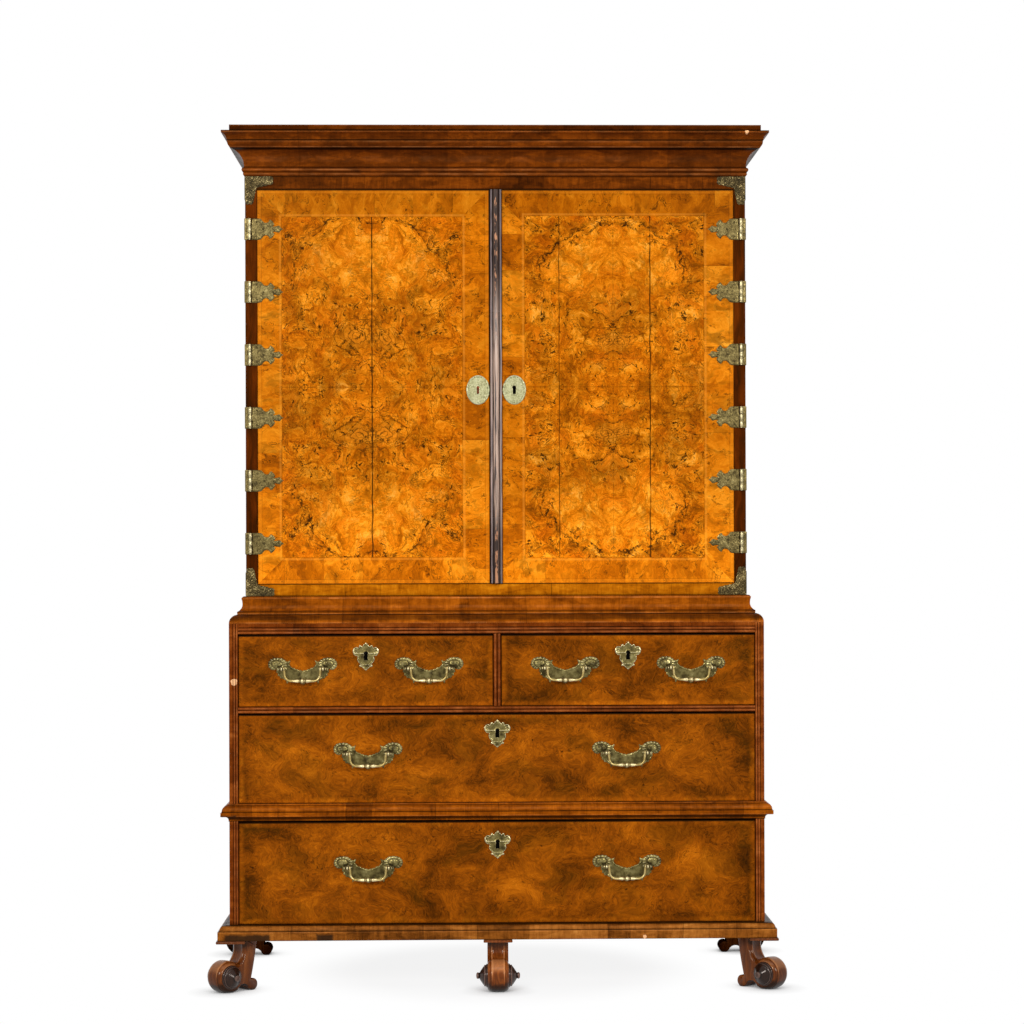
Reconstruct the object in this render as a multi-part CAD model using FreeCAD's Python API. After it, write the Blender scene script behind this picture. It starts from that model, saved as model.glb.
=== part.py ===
import FreeCAD
import Part
import math
import os

# Walnut cabinet on chest: a two-door cabinet standing on a chest of four drawers,
# raised on five scroll feet. Millimetres; X to the viewer's right, Y to the back, Z up.
# The origin is on the floor, under the middle of the overall box.

V = FreeCAD.Vector
os.makedirs("parts", exist_ok=True)

# Plan of the two carcases
chest_half = 535.0
chest_depth = 530.0
chest_board = 18.0
setback = 32.0
cabinet_board = 23.0
back_board = 14.0
front_reach = 52.0

# Heights, from the floor up
base_z = 103.0
chest_floor_z = 133.0
lower_rail_z = (339.0, 374.0)
upper_rail_z = (554.0, 567.0)
top_rail_z = (712.0, 733.0)
chest_top_z = 751.0
waist_top_z = 787.0
cabinet_floor_z = 811.0
door_head_z = 1605.0
cornice_z = (1631.0, 1717.0)
overall_height = 1728.0

# Edge strips with the two reeds, and the joints around drawers and doors
bead_thickness = 6.0
bead_proud = 2.0
rail_depth = 40.0
dust_board = 12.0
muntin = 15.0
drawer_side_gap = 1.4
drawer_foot_gap = 1.0
drawer_head_gap = 2.6
drawer_front_thickness = 22.0
drawer_length = 500.0
drawer_lining = 10.0
drawer_bottom = 8.0
lap_length = 15.0

# Doors and their hinges
door_thickness = 24.0
door_proud = 0.4
door_gap = 1.2
meeting_gap = 2.0
astragal_width = 24.0
hinge_x = 494.0
hinge_count = 6
hinge_z = (893.0, 1524.5)
hinge_height = 43.0
knuckle_radius = 3.5
knuckle_proud = 3.8
pin_radius = 1.5
fit_gap = 0.06
plate = 1.6

# Drawer furniture
handle_rise = 5.0
post_x = 41.0
pivot_out = 15.0
bail_drop = 24.0
bail_half = 2.2
bail_bend = 13.0
bail_facets = 3
swell_x = 12.0

# Scroll feet, measured along the direction a foot points and up from the floor
foot_width = 42.0
roll_radius = 32.0
roll_out = 64.0
tail_radius = 12.0
tail_out = 7.0
floor_flat = 0.8
bevel_width = 9.5
bevel_depth = 4.5
cap_size = 58.0
cap_height = 6.0

chest_back = (chest_depth + front_reach) / 2
chest_front = chest_back - chest_depth
chest_edge = chest_front + bead_thickness - bead_proud
chest_inner = chest_half - chest_board
cabinet_half = chest_half - setback
cabinet_inner = cabinet_half - cabinet_board
cabinet_front = chest_front + setback
back_face = chest_back - back_board
door_face = cabinet_front - door_proud
door_back = door_face + door_thickness
hinge_y = cabinet_front - knuckle_proud
left_meeting = -astragal_width / 2 - meeting_gap
right_meeting = -astragal_width / 2


def save(name, *solids):
    shape = solids[0] if len(solids) == 1 else Part.makeCompound(list(solids))
    shape.exportStep("parts/" + name + ".step")


def board(x0, x1, y0, y1, z0, z1):
    return Part.makeBox(x1 - x0, y1 - y0, z1 - z0, V(x0, y0, z0))


def mirrored(shape):
    return shape.mirror(V(0, 0, 0), V(1, 0, 0))


def rod(radius, start, end):
    axis = end - start
    return Part.makeCylinder(radius, axis.Length, start, axis)


def ring(sides, radius, centre, along, stretch=1.0):
    """The corners of a regular polygon around centre, square to along; stretch widens it for a mitre."""
    reference = V(0, 1, 0) if abs(along.y) < 0.9 * along.Length else V(0, 0, 1)
    across = along.cross(reference).normalize() * (radius * stretch)
    up = across.cross(along).normalize() * radius
    corners = []
    for k in range(sides):
        angle = 2 * math.pi * (k + 0.5) / sides
        corners.append(centre + across * math.cos(angle) + up * math.sin(angle))
    return corners


def skinned(rings):
    """A flat-faced solid through rings of corners that answer to each other."""
    faces = [Part.Face(Part.makePolygon(end + end[:1])) for end in (rings[0], rings[-1])]
    for here, there in zip(rings, rings[1:]):
        for k in range(len(here)):
            corners = [here[k - 1], here[k], there[k], there[k - 1], here[k - 1]]
            faces.append(Part.Face(Part.makePolygon(corners)))
    solid = Part.makeSolid(Part.makeShell(faces))
    return solid if solid.Volume > 0 else solid.reversed()


def bar(sides, radius, start, end):
    """A small straight piece with a filed, many-sided section."""
    return skinned([ring(sides, radius, start, end - start), ring(sides, radius, end, end - start)])


def socket(sides, radius, start, end):
    """The cutter for a hole that clears a bar of this radius at every angle."""
    return bar(sides, radius / math.cos(math.pi / sides), start, end)


def facets(centre_u, centre_v, radius_u, radius_v, start, end, count):
    """Points along part of an oval, from start to end in degrees."""
    points = []
    for k in range(count + 1):
        turn = math.radians(start + (end - start) * k / count)
        points.append((centre_u + radius_u * math.cos(turn), centre_v + radius_v * math.sin(turn)))
    return points


def is_arc(step):
    return isinstance(step[0], tuple)


def outline(start, steps, place):
    """A closed wire: each step is an end point, or a pair of a point on an arc and its end."""
    edges = []
    here = start
    for step in steps:
        if is_arc(step):
            edges.append(Part.Arc(place(*here), place(*step[0]), place(*step[1])).toShape())
            here = step[1]
        else:
            edges.append(Part.makeLine(place(*here), place(*step)))
            here = step
    if here != start:
        edges.append(Part.makeLine(place(*here), place(*start)))
    return Part.Wire(edges)


def prism(start, steps, place, along):
    return Part.Face(outline(start, steps, place)).extrude(along)


def both_sides(start, half, flip):
    """Closes one half of a symmetrical outline with its mirror image."""
    ends = [start] + [step[1] if is_arc(step) else step for step in half]
    back = []
    for index in range(len(half) - 1, -1, -1):
        end = flip(ends[index])
        back.append((flip(half[index][0]), end) if is_arc(half[index]) else end)
    return list(half) + back


def flip_u(point):
    return (-point[0], point[1])


def flip_v(point):
    return (point[0], -point[1])


def moulding(start, steps, half, front, depth_back, inset):
    """A front length and two returns of one section, mitred at the corners.

    The section is given as (projection, height); inset is how far its back lies behind the face.
    """
    reach = 80.0
    low, high = -10.0, overall_height + 10.0
    run = 2 * (half + reach)
    length = prism(start, steps, lambda p, z: V(-run / 2, front - p, z), V(run, 0, 0))
    plan = [
        (half + reach, front - reach),
        (half, front),
        (half - inset, front + inset),
        (inset - half, front + inset),
        (-half, front),
    ]
    tall = V(0, 0, high - low)
    mitre = prism((-half - reach, front - reach), plan, lambda x, y: V(x, y, low), tall)
    side_run = depth_back - front + reach
    side = prism(start, steps, lambda p, z: V(half + p, front - reach, z), V(0, side_run, 0))
    plan = [
        (half + reach, depth_back),
        (half - inset, depth_back),
        (half - inset, front + inset),
        (half, front),
    ]
    corner = prism((half + reach, front - reach), plan, lambda x, y: V(x, y, low), tall)
    right = side.common(corner)
    return [length.common(mitre).Solids[0], right.Solids[0], mirrored(right).Solids[0]]


def keyhole(x, y0, y1, z):
    """The cutter for a keyhole whose round end is centred at height z."""
    flare = [(2.5, 0), (3.3, -13.0), (-3.3, -13.0)]
    slot = prism((-2.5, 0), flare, lambda u, v: V(x + u, y0, z + v), V(0, y1 - y0, 0))
    return bar(8, 3.3, V(x, y0, z), V(x, y1, z)).fuse(slot)


# Cabinet carcase
bolt_x = left_meeting - 18.0
bolt_y = door_back + 7.0
bolt_radius = 4.0
bolt_travel = 12.0
shelf_front = -150.0
shelf_z = (1062.0, 1330.0)
shelf_board = 18.0
bearer_width = 14.0
bearer_height = 22.0
bearer_setback = 10.0

side = board(cabinet_inner, cabinet_half, cabinet_front, chest_back, chest_top_z, cornice_z[0])
save("cabinet_right_side", side)
save("cabinet_left_side", mirrored(side))

socket_depth = bolt_travel + 3.0


def bolt_socket(z, way):
    """The blind hole that takes the end of a bolt; way is up or down from height z."""
    return socket(8, bolt_radius + 0.5, V(bolt_x, bolt_y, z), V(bolt_x, bolt_y, z + way * socket_depth))


head = board(-cabinet_inner, cabinet_inner, cabinet_front, back_face, door_head_z, cornice_z[0])
save("cabinet_top", head.cut(bolt_socket(door_head_z, 1)))
floor = board(-cabinet_inner, cabinet_inner, cabinet_front, back_face, waist_top_z, cabinet_floor_z)
save("cabinet_bottom", floor.cut(bolt_socket(cabinet_floor_z, -1)))


def back_boards(half, z0, z1, count):
    width = 2 * half / count
    boards = []
    for k in range(count):
        x = -half + width * k
        boards.append(board(x, x + width, back_face, chest_back, z0, z1))
    return boards


save("cabinet_back", *back_boards(cabinet_inner, chest_top_z, cornice_z[0], 5))

shelves = []
bearers = []
for z in shelf_z:
    shelves.append(board(-cabinet_inner, cabinet_inner, shelf_front, back_face, z, z + shelf_board))
    front, low = shelf_front + bearer_setback, z - bearer_height
    bearer = board(cabinet_inner - bearer_width, cabinet_inner, front, back_face, low, z)
    bearers += [bearer, mirrored(bearer)]
save("cabinet_shelves", *shelves)
save("shelf_bearers", *bearers)

# Cornice: fillet, bead, deep cove, ovolo and cyma, with a thin board over the top
z0 = cornice_z[0]
cornice_steps = [
    (1.5, z0),
    (4.0, z0 + 3.5),
    (3.0, z0 + 8.0),
    ((6.4, z0 + 12.5), (3.0, z0 + 17.0)),
    (2.0, z0 + 19.0),
    ((8.0, z0 + 40.0), (23.0, z0 + 52.0)),
    (26.0, z0 + 53.0),
    ((31.5, z0 + 59.0), (33.0, z0 + 67.0)),
    (34.0, z0 + 68.5),
    ((37.0, z0 + 77.0), (43.0, z0 + 81.0)),
    (44.0, z0 + 81.5),
    (44.0, cornice_z[1]),
    (-cabinet_board, cornice_z[1]),
]
save(
    "cornice",
    *moulding((-cabinet_board, z0), cornice_steps, cabinet_half, cabinet_front, chest_back, cabinet_board)
)
lid_front = cabinet_front - 41.0
lid_half = cabinet_half + 28.0
save("cornice_dust_board", board(-lid_half, lid_half, lid_front, chest_back, cornice_z[1], overall_height))

# Chest carcase
save("chest_bottom", board(-chest_inner, chest_inner, chest_edge, back_face, base_z, chest_floor_z))
shoulder = 24.0
top_half = chest_half - shoulder
top_board = board(-top_half, top_half, chest_front + shoulder, chest_back, top_rail_z[1], chest_top_z)
save("chest_top", top_board)
save("chest_back", *back_boards(chest_inner, base_z, top_rail_z[1], 5))

rail_back = chest_edge + rail_depth
rails = [
    board(-chest_inner, chest_inner, chest_edge, rail_back, z[0], z[1])
    for z in (lower_rail_z, upper_rail_z, top_rail_z)
]
openings = {
    "top_left": (-chest_inner, -muntin / 2, upper_rail_z[1], top_rail_z[0]),
    "top_right": (muntin / 2, chest_inner, upper_rail_z[1], top_rail_z[0]),
    "middle": (-chest_inner, chest_inner, lower_rail_z[1], upper_rail_z[0]),
    "bottom": (-chest_inner, chest_inner, chest_floor_z, lower_rail_z[0]),
}
save("drawer_rails", *rails)
stop_y = chest_front + drawer_front_thickness + 0.4
stop_inset = 90.0
stop_half = 15.0
stop_depth = 10.0
stop_height = 5.0
stops = []
for x0, x1, z0, z1 in openings.values():
    for x in (x0 + stop_inset, x1 - stop_inset):
        stops.append(board(x - stop_half, x + stop_half, stop_y, stop_y + stop_depth, z0, z0 + stop_height))
save("drawer_stops", *stops)
divider = board(-muntin / 2, muntin / 2, chest_edge, back_face, upper_rail_z[1], top_rail_z[0])
save("top_drawer_divider", divider)
save(
    "dust_boards",
    *[
        board(-chest_inner, chest_inner, rail_back, back_face, z[1] - dust_board, z[1])
        for z in (lower_rail_z, upper_rail_z)
    ]
)

# Mouldings of the chest
z0 = top_rail_z[1]
z1 = chest_top_z
z2 = waist_top_z
waist_steps = [
    (0.0, z0),
    (0.0, z0 + 2.0),
    ((-4.8, z0 + 13.0), (-15.5, z1)),
    (-15.0, z1 + 5.5),
    ((-22.0, z1 + 11.0), (-25.0, z1 + 22.0)),
    (-24.5, z1 + 27.0),
    (-23.0, z1 + 32.5),
    (-26.0, z2),
    (-setback, z2),
    (-setback, z1),
    (-shoulder, z1),
]
save("waist_moulding", *moulding((-shoulder, z0), waist_steps, chest_half, chest_front, chest_back, setback))

back_of_strip = chest_front - chest_edge
z0 = lower_rail_z[0]
middle_steps = [
    (1.5, z0),
    (1.5, z0 + 3.0),
    ((3.8, z0 + 7.5), (9.0, z0 + 9.5)),
    (15.5, z0 + 10.0),
    (16.5, z0 + 11.0),
    (16.5, z0 + 18.0),
    (14.0, z0 + 18.8),
    ((12.0, z0 + 27.5), (6.5, z0 + 31.5)),
    (5.0, z0 + 32.0),
    (3.8, z0 + 34.0),
    (1.0, lower_rail_z[1]),
    (back_of_strip, lower_rail_z[1]),
]
rail_section = (back_of_strip, z0)
middle_lengths = moulding(rail_section, middle_steps, chest_half, chest_front, chest_back, -back_of_strip)
save("middle_moulding", *middle_lengths)

base_steps = [
    (22.5, base_z),
    (22.5, base_z + 18.0),
    (19.5, base_z + 18.6),
    (19.0, base_z + 20.8),
    ((16.5, base_z + 27.2), (8.0, base_z + 29.0)),
    (7.0, chest_floor_z),
    (back_of_strip, chest_floor_z),
]
rail_section = (back_of_strip, base_z)
base_lengths = moulding(rail_section, base_steps, chest_half, chest_front, chest_back, -back_of_strip)
save("base_moulding", *base_lengths)

# The chest sides, housed for the returns of the two lower mouldings
side = board(chest_inner, chest_half, chest_edge, chest_back, base_z, top_rail_z[1])
side = side.cut(middle_lengths[1]).cut(base_lengths[1])
save("chest_right_side", side)
save("chest_left_side", mirrored(side))


# Reeded strips on the front edges of the chest
def reeds(width, flat, place, along):
    """A strip width wide: a flat margin, then two half-round reeds side by side."""
    reed = (width - flat) / 2
    floor_v = bead_thickness - 0.42 * reed
    steps = []
    if flat:
        steps += [(0, bead_thickness - 1.0), (flat - 0.8, bead_thickness - 1.0), (flat, floor_v)]
    else:
        steps.append((0, floor_v))
    for k in range(2):
        middle = flat + reed * (k + 0.5)
        steps += facets(middle, floor_v, reed / 2, bead_thickness - floor_v, 180, 0, 5)[1:]
    steps.append((width, 0))
    return prism((0, 0), steps, place, along)


strips = []
for z0, z1 in ((chest_floor_z, lower_rail_z[0]), (lower_rail_z[1], top_rail_z[1])):
    strip = reeds(
        chest_board, 8.0, lambda u, v: V(chest_half - u, chest_edge - v, z0), V(0, 0, z1 - z0)
    )
    strips += [strip, mirrored(strip)]
for z0, z1 in (upper_rail_z, top_rail_z):
    flat = z1 - z0 - 13.0
    strips.append(
        reeds(z1 - z0, flat, lambda u, v: V(-chest_inner, chest_edge - v, z1 - u), V(2 * chest_inner, 0, 0))
    )
strips.append(
    reeds(
        muntin,
        0,
        lambda u, v: V(u - muntin / 2, chest_edge - v, upper_rail_z[1]),
        V(0, 0, top_rail_z[0] - upper_rail_z[1]),
    )
)
save("edge_beading", *strips)


# Scroll feet
def on_circle(centre_u, centre_v, radius, degrees):
    turn = math.radians(degrees)
    return (centre_u + radius * math.cos(turn), centre_v + radius * math.sin(turn))


roll_z = roll_radius - floor_flat
tail_z = tail_radius - floor_flat


def arc_centre(a, b, c):
    """Centre and radius of the circle through three points."""
    circle = Part.Arc(V(*a, 0), V(*b, 0), V(*c, 0)).toShape().Curve
    return circle.Center.x, circle.Center.y, circle.Radius


def bevel(centre, inward, start, sweep):
    """The cutter that bevels one edge of a round face; inward is +1 where the wood lies outside the arc."""
    u, v, radius = centre
    half = foot_width / 2
    deep = radius + inward * bevel_depth
    over = radius - inward * 2.0
    spill = bevel_width * 2.0 / bevel_depth

    def place(r, w):
        turn = math.radians(start)
        return V(u + r * math.cos(turn), w, v + r * math.sin(turn))

    slope = [(deep, half + 1.0), (over, half + 1.0), (over, half - bevel_width - spill)]
    wedge = Part.Face(outline((deep, half), slope, place))
    return wedge.revolve(V(u, 0, v), V(0, -1, 0), sweep)


def scroll_foot():
    """One foot pointing along +X: an S-scroll with a roll in front and a small curl behind."""
    roll = (roll_out, roll_z, roll_radius)
    tail = (tail_out, tail_z, tail_radius)
    neck_join = 130
    neck_top, neck_mid, neck_foot = (28.5, 88.0), (30.2, 73.0), on_circle(*roll, neck_join)
    back_top, back_mid = (-4.0, base_z), (3.5, 58.0)
    tail_turn, tail_facets = 275, 10
    steps = [
        (33.5, base_z),
        ((29.7, 97.0), neck_top),
        (neck_mid, neck_foot),
        (on_circle(*roll, 10), on_circle(*roll, -125)),
        ((31.0, 14.0), on_circle(*tail, -20)),
        *[on_circle(*tail, -20 - tail_turn * k / tail_facets) for k in range(1, tail_facets + 1)],
        (back_mid, back_top),
    ]
    half = foot_width / 2
    foot = prism(back_top, steps, lambda u, v: V(u, -half, v), V(0, foot_width, 0))
    neck = arc_centre(neck_top, neck_mid, neck_foot)
    neck_start = math.degrees(math.atan2(neck_top[1] - neck[1], neck_top[0] - neck[0]))
    neck_end = math.degrees(math.atan2(neck_foot[1] - neck[1], neck_foot[0] - neck[0]))
    sweep = (neck_end - neck_start) % 360
    for cutter in (bevel(roll, -1, -110, 106 + neck_join), bevel(neck, 1, neck_start, sweep)):
        foot = foot.cut(cutter).cut(cutter.mirror(V(0, 0, 0), V(0, 1, 0)))
    return foot.cut(board(-50, 150, -50, 50, -20, 0))


def roll_boss():
    """The turned boss on one face of a roll, its axis along +Y."""
    profile = [(23.5, 0.0), (23.5, 2.2), (20.2, 7.0), (6.0, 17.0), (7.0, 20.0), (2.8, 22.8)]
    base = foot_width / 2
    rings = []
    for radius, height in profile:
        rings.append(ring(10, radius, V(roll_out, base + height, roll_z), V(0, 1, 0)))
    return skinned(rings)


def foot_cap(x, y):
    """The cap plate of a foot, its lower edges moulded."""
    cap = board(x, x + cap_size, y, y + cap_size, base_z - cap_height, base_z)
    lower = [edge for edge in cap.Edges if edge.BoundBox.ZMax < base_z - cap_height / 2]
    return cap.makeChamfer(cap_height / 2, lower)


corner_x = chest_half - 35.0
back_corner_x = chest_half - 43.0
corner_y = chest_front + 38.0
cap_out = chest_half + 25.5
cap_front = chest_front - 25.5
back_foot_y = chest_back - 45.0
feet = [
    (-corner_x, corner_y, -135, -cap_out, cap_front),
    (0.0, chest_front + 44.0, -90, -cap_size / 2, cap_front),
    (corner_x, corner_y, -45, cap_out - cap_size, cap_front),
    (-back_corner_x, back_foot_y, 180, -cap_out, back_foot_y - cap_size / 2),
    (back_corner_x, back_foot_y, 0, cap_out - cap_size, back_foot_y - cap_size / 2),
]


def stand(shape, x, y, degrees):
    placed = shape.copy()
    placed.rotate(V(0, 0, 0), V(0, 0, 1), degrees)
    placed.translate(V(x, y, 0))
    return placed


foot_shape = scroll_foot()
boss_shape = roll_boss()
far_boss = boss_shape.mirror(V(0, 0, 0), V(0, 1, 0))
scrolls = []
caps = []
bosses = []
for x, y, degrees, cap_x, cap_y in feet:
    scroll = stand(foot_shape, x, y, degrees)
    scrolls.append(scroll)
    caps += foot_cap(cap_x, cap_y).cut(scroll).Solids
    bosses += [stand(boss_shape, x, y, degrees), stand(far_boss, x, y, degrees)]
save("scroll_feet", *scrolls)
save("foot_caps", *caps)
save("foot_bosses", *bosses)

# Doors
door_z = (cabinet_floor_z + door_gap, door_head_z - door_gap)
door_edge = cabinet_inner - door_gap
lock_x = 36.5
lock_z = 1201.0
key_z = lock_z + 5.0
save("left_door", board(-door_edge, left_meeting, door_face, door_back, *door_z))
right_door = board(right_meeting, door_edge, door_face, door_back, *door_z)
save("right_door", right_door.cut(keyhole(lock_x, door_face - 1, door_back + 1, key_z)))
save("right_door_lock", board(lock_x - 44, lock_x + 26, door_back, door_back + 14, lock_z - 50, lock_z + 50))

astragal_steps = facets(-9.3, 3.0, 2.7, 2.6, 180, 0, 4)
astragal_steps += facets(0.0, 4.0, 6.0, 5.0, 180, 0, 8)
astragal_steps += facets(9.3, 3.0, 2.7, 2.6, 180, 0, 4)
astragal_steps.append((12.0, 0.0))
door_rise = V(0, 0, door_z[1] - door_z[0])
astragal = prism((-12.0, 0.0), astragal_steps, lambda u, v: V(u, door_face - v, door_z[0]), door_rise)
save("right_door_astragal", astragal)


def door_escutcheon(x):
    """An oval plate, pierced for the key."""
    points = facets(0.0, 0.0, 23.6, 29.5, 0, 345, 23)
    oval = prism(points[0], points[1:], lambda u, v: V(x + u, door_face, lock_z + v), V(0, -plate, 0))
    return oval.cut(keyhole(x, door_face - 5, door_face + 5, key_z))


save("left_door_escutcheon", door_escutcheon(-lock_x))
save("right_door_escutcheon", door_escutcheon(lock_x))

# Bolts that hold the left door, on its inner face by the meeting edge
bolt_length = 130.0
guides = []
for name, tip, way in (("top", door_z[1] - 1.0, 1), ("bottom", door_z[0] + 1.0, -1)):
    rest = tip - way * bolt_length
    shaft = bar(8, bolt_radius, V(bolt_x, bolt_y, tip), V(bolt_x, bolt_y, rest))
    grip = tip - way * 75.0
    knob = bar(8, 3.0, V(bolt_x, bolt_y, grip), V(bolt_x, bolt_y + 14, grip))
    save("left_door_" + name + "_bolt", shaft.fuse(knob))
    for at in (35.0, 110.0):
        z = tip - way * at
        guide = board(bolt_x - 11, bolt_x + 11, door_back, bolt_y + 6, z - 8, z + 8)
        way_through = socket(8, bolt_radius + fit_gap, V(bolt_x, bolt_y, z - 9), V(bolt_x, bolt_y, z + 9))
        guides.append(guide.cut(way_through))
save("left_door_bolt_guides", *guides)

# Hinges
hinge_step = (hinge_z[1] - hinge_z[0]) / (hinge_count - 1)
hinge_levels = [hinge_z[0] + hinge_step * k for k in range(hinge_count)]
middle_knuckle = 7.0
clear = knuckle_radius + 0.35


def knuckle(z0, z1):
    start, end = V(hinge_x, hinge_y, z0), V(hinge_x, hinge_y, z1)
    return bar(6, knuckle_radius, start, end).cut(socket(6, pin_radius + fit_gap, start, end))


def door_leaf(z):
    """The shaped leaf on the right door, with the middle knuckle."""
    half = hinge_height / 2
    upper = [
        (0.0, middle_knuckle),
        (clear, middle_knuckle),
        (clear, half),
        (22.0, half),
        (29.0, 12.2),
        (37.0, 12.6),
        (42.0, 19.5),
        (50.0, 13.0),
        (48.0, 6.6),
        (67.0, 0.0),
    ]
    steps = both_sides((0.0, 0.0), upper, flip_v)
    leaf = prism((0.0, 0.0), steps, lambda u, v: V(hinge_x - u, door_face, z + v), V(0, -plate, 0))
    return leaf.fuse(knuckle(z - middle_knuckle, z + middle_knuckle)).removeSplitter()


def fixed_leaf(z):
    """The bent leaf on the right front corner, with the two outer knuckles."""
    half = hinge_height / 2
    notch = middle_knuckle + 0.4
    reach = cabinet_half + plate - hinge_x
    upper = [(clear, notch), (0.0, notch), (0.0, half), (reach, half), (reach, 0.0)]
    steps = both_sides((clear, 0.0), upper, flip_v)
    front = prism((clear, 0.0), steps, lambda u, v: V(hinge_x + u, cabinet_front, z + v), V(0, -plate, 0))
    flank_steps = [(30.0, -half), (36.0, 0.0), (30.0, half), (0.0, half)]
    flank = prism(
        (0.0, -half), flank_steps, lambda u, v: V(cabinet_half, cabinet_front + u, z + v), V(plate, 0, 0)
    )
    return front.fuse([flank, knuckle(z - half, z - notch), knuckle(z + notch, z + half)]).removeSplitter()


def hinge_pin(z):
    half = hinge_height / 2
    return rod(pin_radius, V(hinge_x, hinge_y, z - half), V(hinge_x, hinge_y, z + half))


right_leaves = [door_leaf(z) for z in hinge_levels]
save("right_door_hinge_leaves", *right_leaves)
save("left_door_hinge_leaves", *[mirrored(leaf) for leaf in right_leaves])
fixed_leaves = [fixed_leaf(z) for z in hinge_levels]
save("cabinet_hinge_leaves", *fixed_leaves, *[mirrored(leaf) for leaf in fixed_leaves])
pins = [hinge_pin(z) for z in hinge_levels]
save("hinge_pins", *pins, *[mirrored(pin) for pin in pins])


# Corner mounts
def corner_mount(z, way):
    """An L-shaped plate at the right front corner; way is the direction of its upright arm."""
    arm, width, lip = 57.0, 22.6, 9.0
    steps = [
        (arm - 9, 0.0),
        (arm, 11.0),
        (arm - 10.0, 14.0),
        (arm - 12.0, width),
        (width, width),
        (width, arm - 12.0),
        (14.0, arm - 10.0),
        (11.0, arm),
        (0.0, arm - 9),
    ]
    mount = prism(
        (0.0, 0.0), steps, lambda u, v: V(cabinet_half - u, cabinet_front, z + way * v), V(0, -plate, 0)
    )
    z0, z1 = sorted((z, z + way * (arm - 9)))
    fold = board(cabinet_half, cabinet_half + plate, cabinet_front - plate, cabinet_front + lip, z0, z1)
    return mount.fuse(fold).removeSplitter()


mounts = [corner_mount(cornice_z[0] - 0.5, -1), corner_mount(waist_top_z + 0.5, 1)]
save("corner_mounts", *mounts, *[mirrored(mount) for mount in mounts])


# Drawers
def handle_plate(x, z):
    """The winged back plate of a handle, centred under its posts."""
    half = [(16.0, 5.0), (24.5, 8.0), (29.8, 14.5), (27.5, 22.4), (36.0, 24.2)]
    half += facets(56.6, 14.8, 12.6, 12.4, 100, -95, 6)
    half += [(52.6, 3.4), (50.8, -6.4), (44.0, -13.2), (33.0, -18.0), (30.6, -24.4), (28.4, -19.2)]
    half += [(6.5, -22.6), (0.0, -26.0)]
    steps = both_sides((0.0, 0.4), half, flip_u)
    return prism((0.0, 0.4), steps, lambda u, v: V(x + u, chest_front, z + v), V(0, -plate, 0))


def handle_post(x, z, way):
    """A post with the pivot that carries one end of the bail; way points away from the bail."""
    y = chest_front - pivot_out
    head = V(x, y, z)
    out = V(way, 0, 0)
    stem = bar(6, 2.5, V(x, chest_front - plate, z), head)
    turned = [(pin_radius, -6.8), (pin_radius, -2.1), (3.4, -2.1), (3.4, 2.1), (0.9, 6.6)]
    return skinned([ring(6, radius, head + out * at, out) for radius, at in turned]).fuse(stem)


def bail(x, z):
    """A hanging bail with an eye at each end and a ringed knop in the middle of the grip."""
    eye_in, eye_out = post_x - 6.6, post_x - 2.75
    top = V(post_x - 5.0, 0, -1.5)
    elbow = V(34.0, 0, -bail_drop)
    knop_end = V(2.4, 0, -bail_drop)
    up = (top - elbow).normalize()
    along = (knop_end - elbow).normalize()
    corner = math.acos(up.dot(along))
    reach = bail_bend / math.tan(corner / 2)
    inward = (up + along).normalize()
    centre = elbow + inward * (bail_bend / math.sin(corner / 2))
    spoke = elbow + up * reach - centre
    turn = math.pi - corner
    path = [top]
    for k in range(bail_facets + 1):
        swung = FreeCAD.Rotation(V(0, 1, 0), math.degrees(turn * k / bail_facets))
        path.append(centre + swung.multVec(spoke))
    path.append(V(swell_x, 0, -bail_drop))
    rings = [ring(6, bail_half, top, path[1] - top)]
    for before, here, after in zip(path, path[1:], path[2:]):
        arriving = (here - before).normalize()
        leaving = (after - here).normalize()
        mitre = (arriving + leaving).normalize()
        rings.append(ring(6, bail_half, here, mitre, 1 / mitre.dot(leaving)))
    rings.append(ring(6, bail_half, path[-1], along))
    rings.append(ring(6, 1.5 * bail_half, knop_end, along))
    arm = skinned(rings)
    eye = bar(6, 3.5, V(eye_in, 0, 0), V(eye_out, 0, 0))
    knop = bar(6, 4.2, V(-knop_end.x, 0, -bail_drop), knop_end)
    half = arm.fuse(eye)
    bore = socket(6, pin_radius + fit_gap, V(-post_x, 0, 0), V(post_x, 0, 0))
    whole = half.fuse([mirrored(half), knop]).cut(bore).removeSplitter()
    whole.translate(V(x, chest_front - pivot_out, z))
    return whole.Solids[0]


def drawer_escutcheon(x, z):
    """A shield-shaped plate with a crown, pierced for the key."""
    half = [(3.0, 22.6), (9.1, 17.9), (15.3, 21.5), (15.8, 17.6)]
    half += facets(20.0, 10.4, 6.4, 7.2, 75, -85, 4)
    half += [(15.4, -0.5), (17.0, -7.0), (10.5, -15.5), (13.5, -18.5), (6.8, -20.3), (0.0, -28.4)]
    steps = both_sides((0.0, 28.4), half, flip_u)
    shield = prism((0.0, 28.4), steps, lambda u, v: V(x + u, chest_front, z + v), V(0, -plate, 0))
    return shield.cut(keyhole(x, chest_front - 5, chest_front + 5, z + 6.0))


def tails(x, y, way, length, z0, z1):
    """The dovetails at one end of a drawer side; way is the direction they point along Y."""
    count = max(2, round((z1 - z0) / 55.0))
    pitch = (z1 - z0) / count
    narrow, wide = pitch * 0.30, pitch * 0.40
    shapes = []
    for k in range(count):
        z = z0 + pitch * (k + 0.5)
        steps = [(length, -wide), (length, wide), (0.0, narrow)]
        shapes.append(
            prism((0.0, -narrow), steps, lambda u, v: V(x, y + way * u, z + v), V(drawer_lining, 0, 0))
        )
    return shapes


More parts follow.
